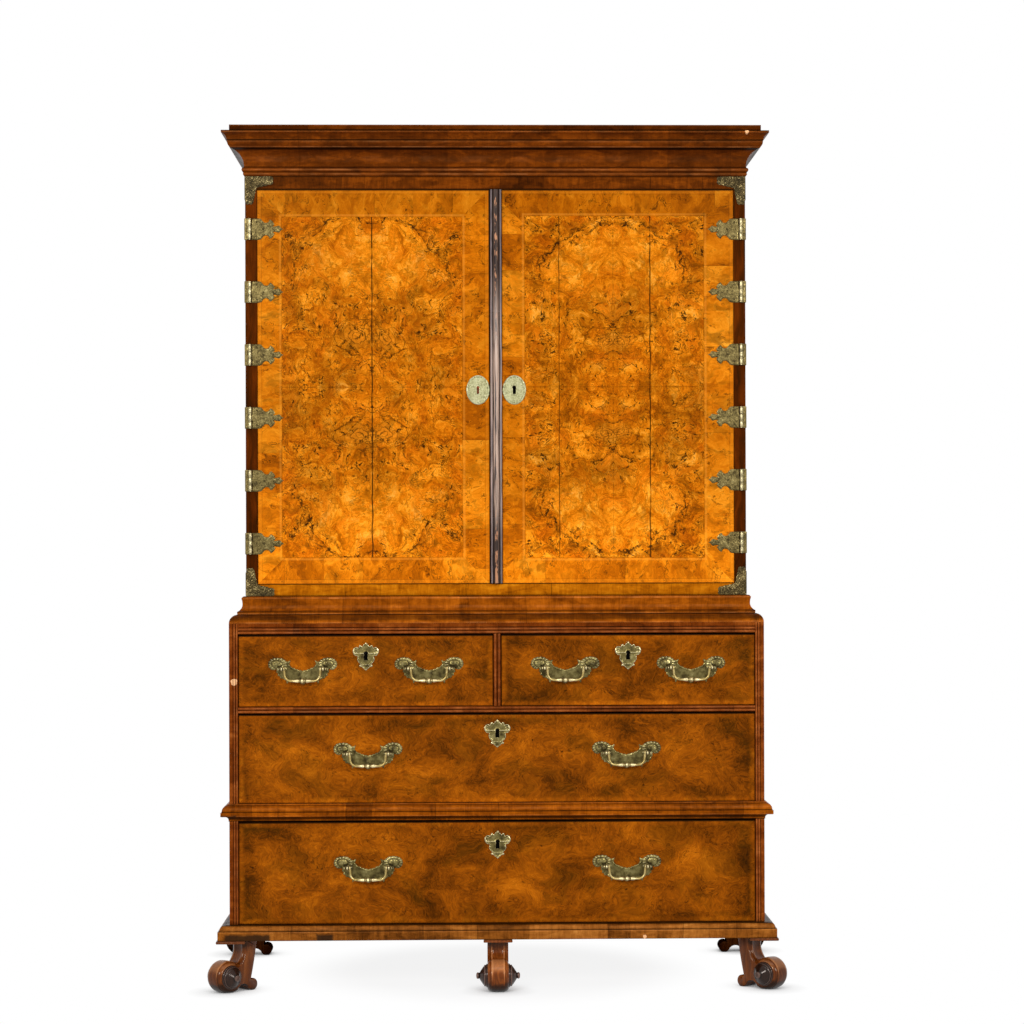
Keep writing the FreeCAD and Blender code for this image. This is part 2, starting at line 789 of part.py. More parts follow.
def drawer_parts(x0, x1, z0, z1):
    """Front board and lining of the drawer in one opening.

    The sides are dovetailed into front and back, and the bottom slides in grooves under the back.
    """
    x0, x1 = x0 + drawer_side_gap, x1 - drawer_side_gap
    behind = chest_front + drawer_front_thickness
    end = chest_front + drawer_length
    low, high = z0 + 0.4, z1 - 9.0
    bottom_z = z0 + 8.0
    over_bottom = bottom_z + drawer_bottom
    inner = (x0 + drawer_lining, x1 - drawer_lining)
    groove = 4.0
    bottom = board(inner[0] - groove, inner[1] + groove, behind - groove, end, bottom_z, over_bottom)
    front = board(x0, x1, chest_front, behind, z0 + drawer_foot_gap, z1 - drawer_head_gap).cut(bottom)
    back = board(x0, x1, end - drawer_lining, end, over_bottom, high)
    sides = []
    for x in (x0, inner[1]):
        lap = tails(x, behind, -1, lap_length, over_bottom, high)
        through = tails(x, end - drawer_lining, 1, drawer_lining, over_bottom, high)
        front = front.cut(lap)
        back = back.cut(through)
        tail_end = board(x, x + drawer_lining, end - drawer_lining, end, low, over_bottom)
        length = board(x, x + drawer_lining, behind, end - drawer_lining, low, high)
        sides.append(length.fuse(lap + through + [tail_end]).removeSplitter().cut(bottom))
    return front, sides + [back, bottom]


drawers = {
    "top_left": (-262.2, 643.0, 126.0, 667.0),
    "top_right": (262.2, 643.0, 126.0, 667.0),
    "middle": (0.0, 473.0, 258.5, 512.0),
    "bottom": (0.0, 246.0, 258.5, 290.0),
}
for name, (centre, post_z, spread, shield_z) in drawers.items():
    front, lining = drawer_parts(*openings[name])
    behind = chest_front + drawer_front_thickness
    key = keyhole(centre, chest_front - 1, behind + 1, shield_z + 6.0)
    save(name + "_drawer_front", front.cut(key))
    save(name + "_drawer_box", *lining)
    brasses = [
        drawer_escutcheon(centre, shield_z),
        board(centre - 32, centre + 32, behind, behind + 13, shield_z - 22, shield_z + 24),
    ]
    for hand, way in (("left", -1), ("right", 1)):
        x = centre + way * spread
        brasses.append(handle_plate(x, post_z - handle_rise))
        for post_way in (-1, 1):
            brasses.append(handle_post(x + post_way * post_x, post_z, post_way))
        save(name + "_drawer_" + hand + "_bail", bail(x, post_z))
    save(name + "_drawer_brasses", *brasses)
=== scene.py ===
import math
import bmesh
import bpy
import numpy as np
from mathutils import Matrix, Vector
from mathutils.geometry import delaunay_2d_cdt


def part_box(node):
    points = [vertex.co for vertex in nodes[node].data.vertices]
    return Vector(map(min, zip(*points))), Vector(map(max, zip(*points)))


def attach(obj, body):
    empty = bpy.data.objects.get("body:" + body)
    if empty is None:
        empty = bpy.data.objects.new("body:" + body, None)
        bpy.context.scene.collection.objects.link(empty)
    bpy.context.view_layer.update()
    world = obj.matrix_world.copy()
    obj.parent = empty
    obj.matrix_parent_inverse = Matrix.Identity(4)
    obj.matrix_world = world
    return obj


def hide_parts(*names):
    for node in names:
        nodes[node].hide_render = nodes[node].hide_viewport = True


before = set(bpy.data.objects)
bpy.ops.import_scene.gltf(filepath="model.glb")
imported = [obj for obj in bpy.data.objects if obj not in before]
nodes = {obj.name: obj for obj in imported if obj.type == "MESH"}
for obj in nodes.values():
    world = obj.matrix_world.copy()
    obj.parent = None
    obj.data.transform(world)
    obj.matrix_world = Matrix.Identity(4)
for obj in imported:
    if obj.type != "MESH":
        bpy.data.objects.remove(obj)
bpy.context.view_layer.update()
print("frame loaded,", len(nodes), "nodes")

# Lengths are millimetres in the cabinet's own frame, only the lamps and the floor's size are metres.
mm = 0.001
chestFront, cabinetFront, doorFront, cabinetHalf = -239.0, -207.0, -207.4, 503.0


# shader wiring
def shade(red, green, blue):
    def linear(value):
        value /= 255
        return value / 12.92 if value <= 0.04045 else ((value + 0.055) / 1.055) ** 2.4
    return (linear(red), linear(green), linear(blue), 1)


class Flow:
    # a number, place or colour on its way through a shader; sums with it add nodes
    def __init__(self, wires, socket):
        self.wires, self.socket = wires, socket

    def calc(self, operation, *others):
        return self.wires.flow("ShaderNodeMath", self, *others, operation=operation)

    def vector(self, operation, *others):
        return self.wires.flow("ShaderNodeVectorMath", self, *others, operation=operation)

    def __add__(self, other):
        return self.calc("ADD", other)

    __radd__ = __add__

    def __sub__(self, other):
        return self.calc("SUBTRACT", other)

    def __rsub__(self, other):
        return self.wires.flow("ShaderNodeMath", other, self, operation="SUBTRACT")

    def __mul__(self, other):
        return self.calc("MULTIPLY", other)

    def __truediv__(self, other):
        return self.calc("DIVIDE", other)

    def __pow__(self, other):
        return self.calc("POWER", other)

    def __abs__(self):
        return self.calc("ABSOLUTE")

    def floor(self):
        return self.calc("FLOOR")

    def fract(self):
        return self.calc("FRACT")

    def sine(self):
        return self.calc("SINE")

    def waves(self):
        # goes up and down between 0 and 0.5
        return self.calc("PINGPONG", 0.5)

    def least(self, *others):
        found = self
        for other in others:
            found = found.calc("MINIMUM", other)
        return found

    def most(self, *others):
        found = self
        for other in others:
            found = found.calc("MAXIMUM", other)
        return found

    def split(self):
        return [Flow(self.wires, socket) for socket in self.wires.add("ShaderNodeSeparateXYZ", self).outputs]

    def shift(self, by):
        return self.vector("ADD", by)

    def stretch(self, by):
        return self.vector("MULTIPLY", by)

    def length(self):
        return self.wires.flow("ShaderNodeVectorMath", self, operation="LENGTH", output="Value")

    def noise(self, size, detail=4.0, rough=0.55, output=0):
        return self.wires.flow("ShaderNodeTexNoise", self, 0.0, 1 / size, detail, rough, output=output)

    def drift(self, size, by, detail=3.0):
        # pushes a place about by a noise of this size
        return self.shift(self.noise(size, detail, output=1).vector("MULTIPLY_ADD", [2 * by] * 3, [-by] * 3))

    def chance(self):
        return self.wires.flow("ShaderNodeTexWhiteNoise", (0, 0, 0), self, noise_dimensions="1D")

    def step(self, low, high, first=0.0, last=1.0):
        # eases from first to last while the value goes from low to high
        return self.wires.flow("ShaderNodeMapRange", self, low, high, first, last, interpolation_type="SMOOTHSTEP")

    def line(self, width):
        # 1 on the line where the value is 0, fading out over width
        return abs(self).step(width * 0.3, width, 1.0, 0.0)

    def ramp(self, stops):
        # stops hold a position and its red, green and blue
        node = self.wires.add("ShaderNodeValToRGB", self)
        elements = node.color_ramp.elements
        while len(elements) < len(stops):
            elements.new(0.5)
        for element, (position, *paint) in zip(elements, stops):
            element.position = position
            element.color = shade(*paint)
        return Flow(self.wires, node.outputs[0])

    def mixed(self, share, other, kind, first, output):
        # first is the socket for this value; the other one goes to the next
        node = self.wires.add("ShaderNodeMix", share, data_type=kind)
        self.wires.put(node.inputs[first], self)
        self.wires.put(node.inputs[first + 1], other)
        return Flow(self.wires, node.outputs[output])

    def mix(self, share, paint):
        # lays another colour over this one
        return self.mixed(share, paint if isinstance(paint, Flow) else shade(*paint), "RGBA", 6, 2)

    def blend(self, share, other):
        return self.mixed(share, other, "FLOAT", 2, 0)

    def tint(self, level):
        # darkens or lightens a colour by a factor
        node = self.wires.add("ShaderNodeVectorMath", self, operation="SCALE")
        self.wires.put(node.inputs["Scale"], level)
        return Flow(self.wires, node.outputs[0])


class Wires:
    def __init__(self, tree):
        self.tree = tree

    def add(self, kind, *values, **settings):
        # the values go to the first sockets
        node = self.tree.nodes.new(kind)
        for key, value in settings.items():
            setattr(node, key, value)
        for socket, value in zip(node.inputs, values):
            self.put(socket, value)
        return node

    def put(self, socket, value):
        if isinstance(value, Flow):
            self.tree.links.new(value.socket, socket)
        else:
            socket.default_value = value

    def flow(self, kind, *values, output=0, **settings):
        return Flow(self, self.add(kind, *values, **settings).outputs[output])

    def join(self, x, y, z=0.0):
        return self.flow("ShaderNodeCombineXYZ", x, y, z)

    def nearness(self, reach, samples):
        # 1 in the open, less where something else lies within reach
        return self.flow("ShaderNodeAmbientOcclusion", (1, 1, 1, 1), reach * mm, output="AO", samples=samples)


class Finish(Wires):
    # a material; spot, x, y and z say where on the cabinet, in mm
    def __init__(self, name):
        self.material = bpy.data.materials.new(name)
        self.material.use_nodes = True
        super().__init__(self.material.node_tree)
        self.tree.nodes.clear()
        self.shader = self.add("ShaderNodeBsdfPrincipled")
        self.output = self.add("ShaderNodeOutputMaterial", Flow(self, self.shader.outputs[0]))
        self.spot = self.flow("ShaderNodeTexCoord", output="Object").stretch((1000, 1000, 1000))
        self.x, self.y, self.z = self.spot.split()

    def bump(self, height, strength, distance):
        node = self.add("ShaderNodeBump")
        for name, value in (("Strength", strength), ("Distance", distance * mm), ("Height", height)):
            self.put(node.inputs[name], value)
        self.put(self.shader.inputs["Normal"], Flow(self, node.outputs[0]))

    def wearAndLight(self):
        # how rubbed a carved or cast piece is, 0 in its hollows and 1 on its ridges; on the feet it also holds
        # painted light and shade, and -1 paints the inside of a piercing black as shade
        return self.flow("ShaderNodeAttribute", attribute_name="wearAndLight", output="Fac")

    def cornerShade(self, colour, reach, least):
        # painted shade: darkens what lies close to something else, within reach mm, by ambient occlusion
        return colour.tint(self.nearness(reach, 6).step(0.30, 0.92, least, 1.0))

    def surface(self, colour, rough, gloss=0.5, sheen=(1, 1, 1, 1), metal=0.0):
        for name, value in (
            ("Base Color", colour), ("Roughness", rough), ("Specular IOR Level", gloss), ("Specular Tint", sheen),
            ("Metallic", metal),
        ):
            self.put(self.shader.inputs[name], value)
        return self.material


# camera, floor and light
view = {
    "x": -52, "y": -5439, "z": 881, "yaw": -1.4, "roll": -0.17,
    "lens": 91.4, "shiftX": -0.0218, "shiftY": 0.036,
}


def setCamera():
    data = bpy.data.cameras.new("photoView")
    data.lens = view["lens"]
    data.sensor_width = 36
    data.shift_x = view["shiftX"]
    data.shift_y = view["shiftY"]
    data.clip_end = 60
    camera = bpy.data.objects.new("photoView", data)
    bpy.context.scene.collection.objects.link(camera)
    turn = Matrix()
    for degrees, axis in ((view["yaw"], "Z"), (90, "X"), (view["roll"], "Z")):
        turn = turn @ Matrix.Rotation(math.radians(degrees), 4, axis)
    camera.matrix_world = Matrix.Translation(Vector((view["x"], view["y"], view["z"])) * mm) @ turn
    bpy.context.scene.camera = camera


def areaLamp(name, spot, aim, width, height, power):
    data = bpy.data.lights.new(name, "AREA")
    data.shape = "RECTANGLE"
    data.size = width
    data.size_y = height
    data.energy = power
    lamp = bpy.data.objects.new(name, data)
    bpy.context.scene.collection.objects.link(lamp)
    lamp.location = spot
    lamp.rotation_euler = (Vector(aim) - Vector(spot)).to_track_quat("-Z", "Y").to_euler()


studio = {
    "roomLight": 0.14, "floorColour": (0.92, 0.92, 0.92, 1), "floorReach": 14, "floorDrop": 0.3,
    "floorGlow": 0.88, "glowEdge": (270, 460), "contact": 50,
    "lamps": [
        ("softLeft", (-2.2, -5.0, 2.5), (0, 0, 0.95), 1.3, 1.3, 134),
        ("softRight", (2.4, -4.8, 2.3), (0, 0, 0.95), 1.3, 1.3, 106),
        ("overhead", (0, -2.6, 4.4), (0, 0, 0.7), 3.0, 1.6, 36),
    ],
}


def whiteRays(wires):
    # 1 for what the camera sees, straight or mirrored
    path = wires.add("ShaderNodeLightPath")
    rays = [Flow(wires, path.outputs[f"Is {kind} Ray"]) for kind in ("Camera", "Glossy", "Transmission")]
    return rays[0].most(rays[1], rays[2])


def setStage():
    world = bpy.data.worlds.new("studio")
    bpy.context.scene.world = world
    world.use_nodes = True
    sky = Wires(world.node_tree)
    room = world.node_tree.nodes["Background"].inputs
    sky.put(room["Color"], (1, 1, 1, 1))
    sky.put(room["Strength"], sky.flow("ShaderNodeMapRange", whiteRays(sky), 0.0, 1.0, studio["roomLight"], 1.0))

    mesh = bpy.data.meshes.new("floor")
    reach = studio["floorReach"]
    corners = [(-reach, -reach, 0), (reach, -reach, 0), (reach, reach * 3, 0), (-reach, reach * 3, 0)]
    mesh.from_pydata(corners, [], [(0, 1, 2, 3)])
    floor = bpy.data.objects.new("floor", mesh)
    floor.location.z = -studio["floorDrop"] * mm
    bpy.context.scene.collection.objects.link(floor)
    paper = Finish("paperFloor")
    mesh.materials.append(paper.surface(studio["floorColour"], 0.9))
    # white where the camera looks, but for the dimmer ground below and right at the feet
    fade = paper.spot.length().step(*studio["glowEdge"], studio["floorGlow"], 1.0)
    share = whiteRays(paper) * (fade * paper.nearness(studio["contact"], 8))
    plain, glow = Flow(paper, paper.shader.outputs[0]), paper.flow("ShaderNodeEmission")
    paper.put(paper.output.inputs[0], paper.flow("ShaderNodeMixShader", share, plain, glow))

    for lamp in studio["lamps"]:
        areaLamp(*lamp)
    bpy.context.scene.view_settings.view_transform = "Standard"


setCamera()
setStage()
print("camera and light set")


# veneers
varnish = (1.0, 0.5, 0.12, 1)
amber = [
    (0.04, 62, 28, 2), (0.24, 136, 64, 2), (0.40, 184, 92, 3), (0.55, 212, 116, 9), (0.74, 238, 144, 24),
    (0.96, 252, 174, 64),
]
ink = (54, 25, 3)


def ovalRing(spot, centre, half, power=2.0):
    sides = []
    for axis in range(2):
        off = (spot[axis] - centre[axis]) / half[axis]
        sides.append(abs(off) ** power)
    return (sides[0] + sides[1]) ** (1 / power)


def burrFigure(wires, across, up, panel):
    # one quarter of a matched burr; across and up are distances from the match lines
    at = wires.join(across, up, panel["seed"])
    loose = at.drift(58, 48)
    curled = loose.drift(12, 8, 4)
    cloud = curled.noise(38, 8, 0.68)
    fleck = curled.noise(6, 6, 0.74)
    grit = wires.spot.noise(2.4, 3, 0.7)
    swirl = (curled.noise(30, 2) * 21).waves()
    tone = cloud * 0.54 + fleck * 0.34 + grit * 0.12
    tone = (tone - 0.5) * 2.9 + 0.59
    tone += (swirl - 0.25) * 0.16
    # at both ends a broken oval line parts the clear heart of the leaf from its barky corners
    squirm = at.drift(60, 26).drift(17, 17).drift(5, 8, 2).split()
    hoop = ovalRing(squirm, *panel["arch"], 2.6)
    ends = up.step(150, 250)
    tone -= ends * hoop.step(0.75, 1.2, -0.04, 0.06)
    tone -= (1.0 - ends) * 0.03
    colour = tone.ramp(amber)
    # reddish blush, olive smoke, and brown stain in the middle
    blush = loose.noise(48, 4).step(0.48, 0.62, 0.0, 0.5)
    colour = colour.mix(blush, colour.mix(0.5, (206, 92, 8)))
    smoke = loose.noise(26, 6, 0.64).step(0.50, 0.64, 0.0, 0.8)
    colour = colour.mix(smoke, colour.mix(0.62, (122, 66, 2)))
    stain = wires.spot.noise(62, 6, 0.66).step(0.46, 0.62, 0.0, 0.7)
    stain *= 1.0 - ends * 0.6
    colour = colour.mix(stain, colour.tint(0.56))

    thick = at.noise(11, 2).step(0.3, 0.7, 0.5, 1.6)
    bent = at.drift(46, 34).drift(15, 9, 4)
    veins = (bent.noise(34, 4, 0.56) - 0.5).line(thick * 0.018)
    veins *= loose.noise(38, 3).step(0.42, 0.52, 0.0, 1.0)
    twigs = (loose.drift(11, 7, 3).noise(19, 3, 0.5) - 0.5).line(thick * 0.018)
    twigs *= wires.spot.noise(30, 3).step(0.50, 0.58, 0.0, 0.85)
    threads = (curled.noise(9, 5, 0.62) - 0.52).line(0.030)
    threads *= loose.noise(22, 3).step(0.45, 0.57, 0.0, 0.75)
    # two wriggling lines run around the oval, with brown smoke outside them
    coast = at.drift(26, 22).drift(7, 8, 2).split()
    coast = ovalRing(coast, *panel["arch"], 2.6)
    arch = (hoop - 1.0).line(thick * 0.023)
    arch = arch.most((coast - 1.06).line(thick * 0.013) * 0.8)
    arch *= wires.spot.noise(26, 3).step(0.40, 0.52, 0.2, 1.0)
    arch *= ends
    fringe = (hoop - 1.1).line(0.18) * at.noise(20, 4).step(0.46, 0.62, 0.0, 0.45)
    colour = colour.mix(fringe * ends, (112, 56, 4))
    eyeSpot = at.drift(26, 12).drift(7, 4).split()
    ring = ovalRing(eyeSpot, *panel["eye"])
    rings = (ring * 2.4).waves().line(0.15) * ring.step(1.0, 1.6, 0.8, 0.0)
    halo = (ring - 2.1).line(thick * 0.08) * 0.7
    colour = colour.mix(ring.step(0.7, 1.5, 0.5, 0.0), (224, 132, 24))
    # the heart of each leaf is clear of bark
    clear = 1.0 - ends * hoop.step(0.72, 0.95, 1.0, 0.0) * 0.6
    strokes = veins.most(twigs, threads) * clear
    strokes = strokes.most(arch, rings, halo)
    breaks = wires.spot.noise(12, 3).step(0.32, 0.46, 0.6, 1.0)
    # bark pockets, strewn without regard to the match
    pockets = wires.spot.drift(7, 5).noise(6, 4, 0.6).step(0.63, 0.71, 0.0, 0.75)
    pockets = pockets * clear * wires.spot.noise(44, 3).step(0.47, 0.60)
    return colour.mix((strokes * breaks).most(pockets), ink)


def bandFigure(wires, along, outward, seed, stops, patch, bite=1.5, size=18):
    # cross grain: the grain runs outward from the middle of the panel
    run = along / patch + seed
    run += (run * 2.1).sine() * 0.3
    leaf = run.floor()
    luck = leaf.chance()
    at = wires.join(along, outward * 0.62, leaf * 91.7)
    loose = at.drift(40, 44)
    curled = loose.drift(10, 9)
    tone = curled.noise(size, 8, 0.66)
    tone = (tone - 0.5) * bite + 0.5
    swirl = (curled.noise(40, 2) * 17).waves()
    tone += (swirl - 0.25) * 0.16
    tone += (luck - 0.5) * 0.26
    colour = tone.ramp(stops)
    smoke = loose.noise(26, 4).step(0.46, 0.66, 0.0, 0.7)
    colour = colour.mix(smoke * luck, (124, 72, 5))
    vein = (curled.noise(24, 5) - 0.5).line(0.022)
    vein *= loose.noise(30, 2).step(0.46, 0.56, 0.1, 0.75)
    seam = abs(run.fract() - 0.5).step(0.493, 0.5, 0.0, 0.4)
    return colour.mix(vein.most(seam), ink)


def panelEdges(wires, box):
    # distances to the four sides of a rectangle (x0, x1, z0, z1), positive inside
    left, right = wires.x - box[0], box[1] - wires.x
    low, high = wires.z - box[2], box[3] - wires.z
    return left.least(right), low.least(high)


def lit(value):
    return value.step(-0.35, 0.35)


doorPanels = {
    "left_door": {
        "edge": (-478.8, -14, 812.2, 1603.8), "field": (-430, -68, 865, 1549),
        "matchX": -249.2, "matchZ": 1207, "seed": 3.1,
        "arch": ((0, 200), (142, 130)), "eye": ((26, 98), (21, 15)),
        "cracks": [(-249.2, 1.9, 0.95)], "key": (-36.5, 1200),
    },
    "right_door": {
        "edge": (-12, 478.8, 812.2, 1603.8), "field": (58, 419, 863, 1551),
        "matchX": 235.8, "matchZ": 1207, "seed": 58.4,
        "arch": ((0, 206), (146, 122)), "eye": ((20, 97), (20, 15)),
        "cracks": [(127.1, 1.4, 0.8), (235.8, 0.8, 0.4), (310.3, 1.8, 0.95)], "key": (36.5, 1200),
    },
}
bandAmber = [
    (0.10, 104, 50, 3), (0.34, 168, 84, 3), (0.52, 206, 112, 8), (0.70, 228, 136, 22), (0.90, 242, 160, 46),
]
railAmber = [
    (0.12, 74, 36, 3), (0.34, 136, 70, 3), (0.52, 176, 96, 5), (0.70, 204, 122, 14),
]


def doorVeneer(name, panel):
    wires = Finish(name + "Veneer")
    across = abs(wires.x - panel["matchX"])
    up = abs(wires.z - panel["matchZ"])
    # the leaves were never cut quite alike
    shift = (wires.spot.noise(130, 2) - 0.5) * 54
    field = burrFigure(wires, across + shift, up + shift, panel)

    sideGap, endGap = panelEdges(wires, panel["edge"])
    upright = lit(endGap - sideGap)
    along = wires.x.blend(upright, wires.z)
    outward = wires.z.blend(upright, wires.x)
    off = (wires.z - panel["matchZ"]).blend(upright, wires.x - panel["matchX"])
    start = off.step(-1, 1) * 7.37 + panel["seed"]
    band = bandFigure(wires, along, outward, start, bandAmber, 112, 1.25, 34)
    band = band.tint(wires.z.step(1535, 1560, 1.0, 0.76))
    fieldSide, fieldEnd = panelEdges(wires, panel["field"])
    inside = fieldSide.least(fieldEnd)
    colour = band.mix(lit(inside), field)

    for x, width, depth in panel["cracks"]:
        sway = (wires.join(0, wires.z, x).noise(40, 4) - 0.5) * 5
        crack = (wires.x - x - sway).line(width)
        parted = wires.join(x, wires.z, 3).noise(50, 3).step(0.30, 0.5, 0.35, 1.0)
        crack = crack * parted * lit(inside)
        colour = colour.mix(crack * depth, (38, 20, 6))
    match = (wires.z - panel["matchZ"]).line(0.9) * lit(inside)
    colour = colour.mix(match * 0.5, ink)

    # light line around the field, and the thin edge strip
    feather = (inside + 3.4).line(3.2)
    colour = colour.mix(feather * 0.3, (232, 146, 44))
    edge = sideGap.least(endGap)
    colour = colour.mix(edge.step(7.0, 8.4, 0.30, 0.0), (216, 124, 22))
    fine = inside.line(0.8).most((edge - 8.2).line(0.8))
    colour = colour.mix(fine * 0.28, ink)
    # darker along the outer edge, and a painted shadow of the gap along the head
    colour = colour.mix(edge.step(0.0, 2.2, 0.55, 0.0), (120, 56, 8))
    colour = colour.mix((panel["edge"][3] - wires.z).step(0.6, 3.4, 0.9, 0.0), (52, 22, 4))
    # browner in patches and towards the top, lighter towards the bottom
    colour = colour.tint(wires.spot.noise(160, 3).step(0.3, 0.72, 0.90, 1.10))
    colour = colour.tint(wires.z.step(830, 1100, 1.30, 0.95))
    keyX, keyZ = panel["key"]
    hole = (wires.x - keyX).line(9) * (wires.z - keyZ).line(20)
    # painted shade in corners and crevices
    colour = wires.cornerShade(colour, 7, 0.35)
    if name == "right_door":
        # painted shadow inside the keyhole
        hole *= wires.y.step(cabinetFront, cabinetFront + 1)
        colour = colour.mix(hole, (8, 5, 3))
    else:
        # bare wood in the slot of the dummy
        hole *= wires.y.step(cabinetFront + 0.1, cabinetFront + 0.6, 1.0, 0.0)
        colour = colour.mix(hole, (232, 132, 84))
    rough = wires.spot.noise(45, 4).step(0.3, 0.7, 0.30, 0.40)
    wires.bump(wires.spot.noise(22, 5), 0.10, 0.4)
    return wires.surface(colour, rough, 0.1, varnish)


drawerGold = [
    (0.06, 38, 18, 2), (0.26, 82, 39, 3), (0.42, 122, 60, 5), (0.56, 152, 78, 7), (0.74, 188, 102, 12),
    (0.94, 216, 132, 28),
]
drawerEdge = [
    (0.14, 84, 40, 3), (0.36, 134, 64, 4), (0.56, 170, 86, 7), (0.78, 206, 116, 16),
]


def drawerVeneer(name, node, seed):
    wires = Finish(name)
    low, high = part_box(node)
    box = [low.x / mm, high.x / mm, low.z / mm, high.z / mm]
    middle = (box[0] + box[1]) / 2
    at = wires.join(wires.x * 0.75, wires.z, seed * 77.0)
    loose = at.drift(95, 64)
    curled = loose.drift(17, 7, 3)
    smoke = loose.noise(74, 4, 0.5)
    curls = curled.noise(24, 5, 0.6)
    broad = wires.spot.stretch((0.5, 1, 1)).noise(120, 3)
    grain = curled.stretch((1.7, 0.5, 1)).noise(4.5, 6, 0.72)
    tone = smoke * 0.36 + curls * 0.18 + broad * 0.18 + grain * 0.32
    tone = (tone - 0.52) * 2.3 + 0.48
    figure = (curled.noise(56, 2) * 15).waves()
    tone += (figure - 0.25) * 0.12
    sideGap, endGap = panelEdges(wires, box)
    edge = sideGap.least(endGap)
    # painted shade just inside a paler border, heavier towards the ends
    ends = sideGap.step(10, 150, 0.8, 0.0)
    tone -= edge.step(4, 70, 0.12, 0.0) * (0.4 + ends)
    colour = tone.ramp(drawerGold)
    olive = loose.noise(56, 5).step(0.48, 0.66, 0.0, 0.6)
    colour = colour.mix(olive, colour.mix(0.5, (78, 48, 4)))
    ringLine = (curled.noise(27, 5) - 0.5).line(0.012)
    ringLine *= loose.noise(40, 2).step(0.46, 0.56, 0.0, 0.65)
    knot = wires.join(wires.x, wires.z, seed * 19.0).noise(16, 2).step(0.73, 0.78, 0.0, 0.85)
    colour = colour.mix(ringLine.most(knot), (36, 17, 3))
    upright = lit(endGap - sideGap)
    along, outward = wires.x.blend(upright, wires.z), wires.z.blend(upright, wires.x)
    band = bandFigure(wires, along, outward, seed, drawerEdge, 96)
    ragged = edge + (wires.spot.noise(30, 4) - 0.5) * 7
    colour = colour.mix(ragged.step(4.0, 14.0, 0.45, 0.0), band)
    # lighter along the foot; darker along the edges, and black along the head as a painted shadow of the gap
    colour = colour.tint((wires.z - box[2]).step(2, 13, 1.32, 1.0))
    colour = colour.mix(edge.step(0.0, 2.0, 0.6, 0.0), (74, 30, 3))
    colour = colour.mix((box[3] - wires.z).step(1.4, 3.4, 0.95, 0.0), (22, 9, 4))
    # painted shadow inside the keyhole
    hole = (wires.x - middle).line(12) * wires.y.step(chestFront + 0.4, chestFront + 1.4)
    colour = colour.mix(hole, (8, 5, 3))
    rough = wires.spot.noise(50, 4).step(0.3, 0.7, 0.28, 0.40)
    # painted shade in corners and crevices
    colour = wires.cornerShade(colour, 16, 0.34)
    wires.bump(wires.spot.noise(26, 5), 0.10, 0.4)
    return wires.surface(colour, rough, 0.1, varnish)


def plainWood(
    name, stops, grainAxis, ringSize=26, rough=(0.3, 0.42), gloss=0.16, seed=0.0, rubbedAndLit=None, sheen=varnish,
    grain=1.0, front=None, boards=None,
):
    wires = Finish(name)
    along = {"x": (0.07, 1, 1), "y": (1, 0.07, 1), "z": (1, 1, 0.07)}[grainAxis]
    at = wires.spot.drift(190, 26).stretch(along)
    at = at.shift((seed * 31, seed * 17, seed * 53))
    if boards:
        # boards side by side, each cut from another place
        boardCount = 5
        low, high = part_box(boards)
        wide = (high.x - low.x) / mm / boardCount
        run = (wires.x - low.x / mm) / wide
        x, y, z = at.split()
        at = wires.join(x, y + run.floor() * 57, z)
    rings = (at.noise(ringSize * 3, 2) * 11).waves()
    fibre = at.stretch((3, 3, 3)).noise(9, 6, 0.65)
    cloud = wires.spot.noise(130, 4)
    figure = (rings - 0.25) * 0.42 * grain + (fibre - 0.5) * 0.42 * grain
    tone = figure + cloud * 0.36 + 0.315
    colour = tone.ramp(stops)
    if front:
        face = wires.y.step(cabinetFront + 0.3, cabinetFront + 0.8, 1.0, 0.0)
        colour = colour.mix(face, tone.ramp(front))
    pores = at.stretch((9, 9, 9)).noise(6, 3).step(0.62, 0.72, 0.0, 0.5)
    colour = colour.mix(pores, colour.tint(0.45))
    if rubbedAndLit:
        wearAndLight = wires.wearAndLight()
        # painted light: the middle foot is painted brighter than the corner feet, its highlights most of all
        aside = abs(wires.x)
        brightest = aside.step(80, 300, 2.0, 1.15)
        colour = colour.tint(aside.step(80, 300, 1.14, 0.87))
        colour = colour.tint(wearAndLight.step(0.40, 1.5, 0.84, brightest))
        # pale where rubbed bare, and as painted highlights
        bareAndLit = wearAndLight.step(0.74, 1.3, 0.0, 0.6) * aside.step(80, 300, 1.0, 0.7)
        colour = colour.mix(bareAndLit, rubbedAndLit)
        # dark in the hollows and where painted shade falls
        colour = colour.mix(wearAndLight.step(0.0, 0.42, 0.95, 0.0), colour.tint(0.14))
        # the back feet are painted dark as shade, and have no gloss
        colour = colour.tint(wires.y.step(0, 150, 1.0, 0.5))
        gloss = wires.y.step(0, 150, gloss, 0.0)
    if boards:
        beside = abs(run.fract() - 0.5)
        joint = beside.step(0.5 - 1.6 / wide, 0.5 - 0.5 / wide, 0.0, 0.9)
        top, bottom = ((wires.z - end.z / mm).line(3.0) * 0.9 for end in (high, low))
        colour = colour.mix(joint.most(top, bottom), (26, 18, 11))
    wires.bump(fibre, 0.18, 0.3)
    # painted shade in corners and crevices
    colour = wires.cornerShade(colour, 9, 0.35)
    spread = cloud.step(0.3, 0.7, *rough)
    return wires.surface(colour, spread, gloss, sheen)


corniceStops = [
    (0.08, 22, 8, 2), (0.30, 58, 22, 3), (0.52, 92, 40, 5), (0.72, 128, 60, 8), (0.92, 168, 88, 14),
]
mouldingStops = [
    (0.08, 42, 17, 2), (0.30, 94, 42, 3), (0.52, 138, 67, 6), (0.72, 174, 90, 12), (0.92, 208, 122, 30),
]
beadStops = [
    (0.08, 40, 14, 4), (0.30, 84, 34, 7), (0.52, 122, 54, 12), (0.72, 156, 78, 24), (0.92, 196, 116, 56),
]
baseStops = [
    (0.08, 40, 19, 4), (0.30, 92, 48, 11), (0.52, 136, 77, 24), (0.72, 170, 104, 40), (0.92, 206, 142, 70),
]


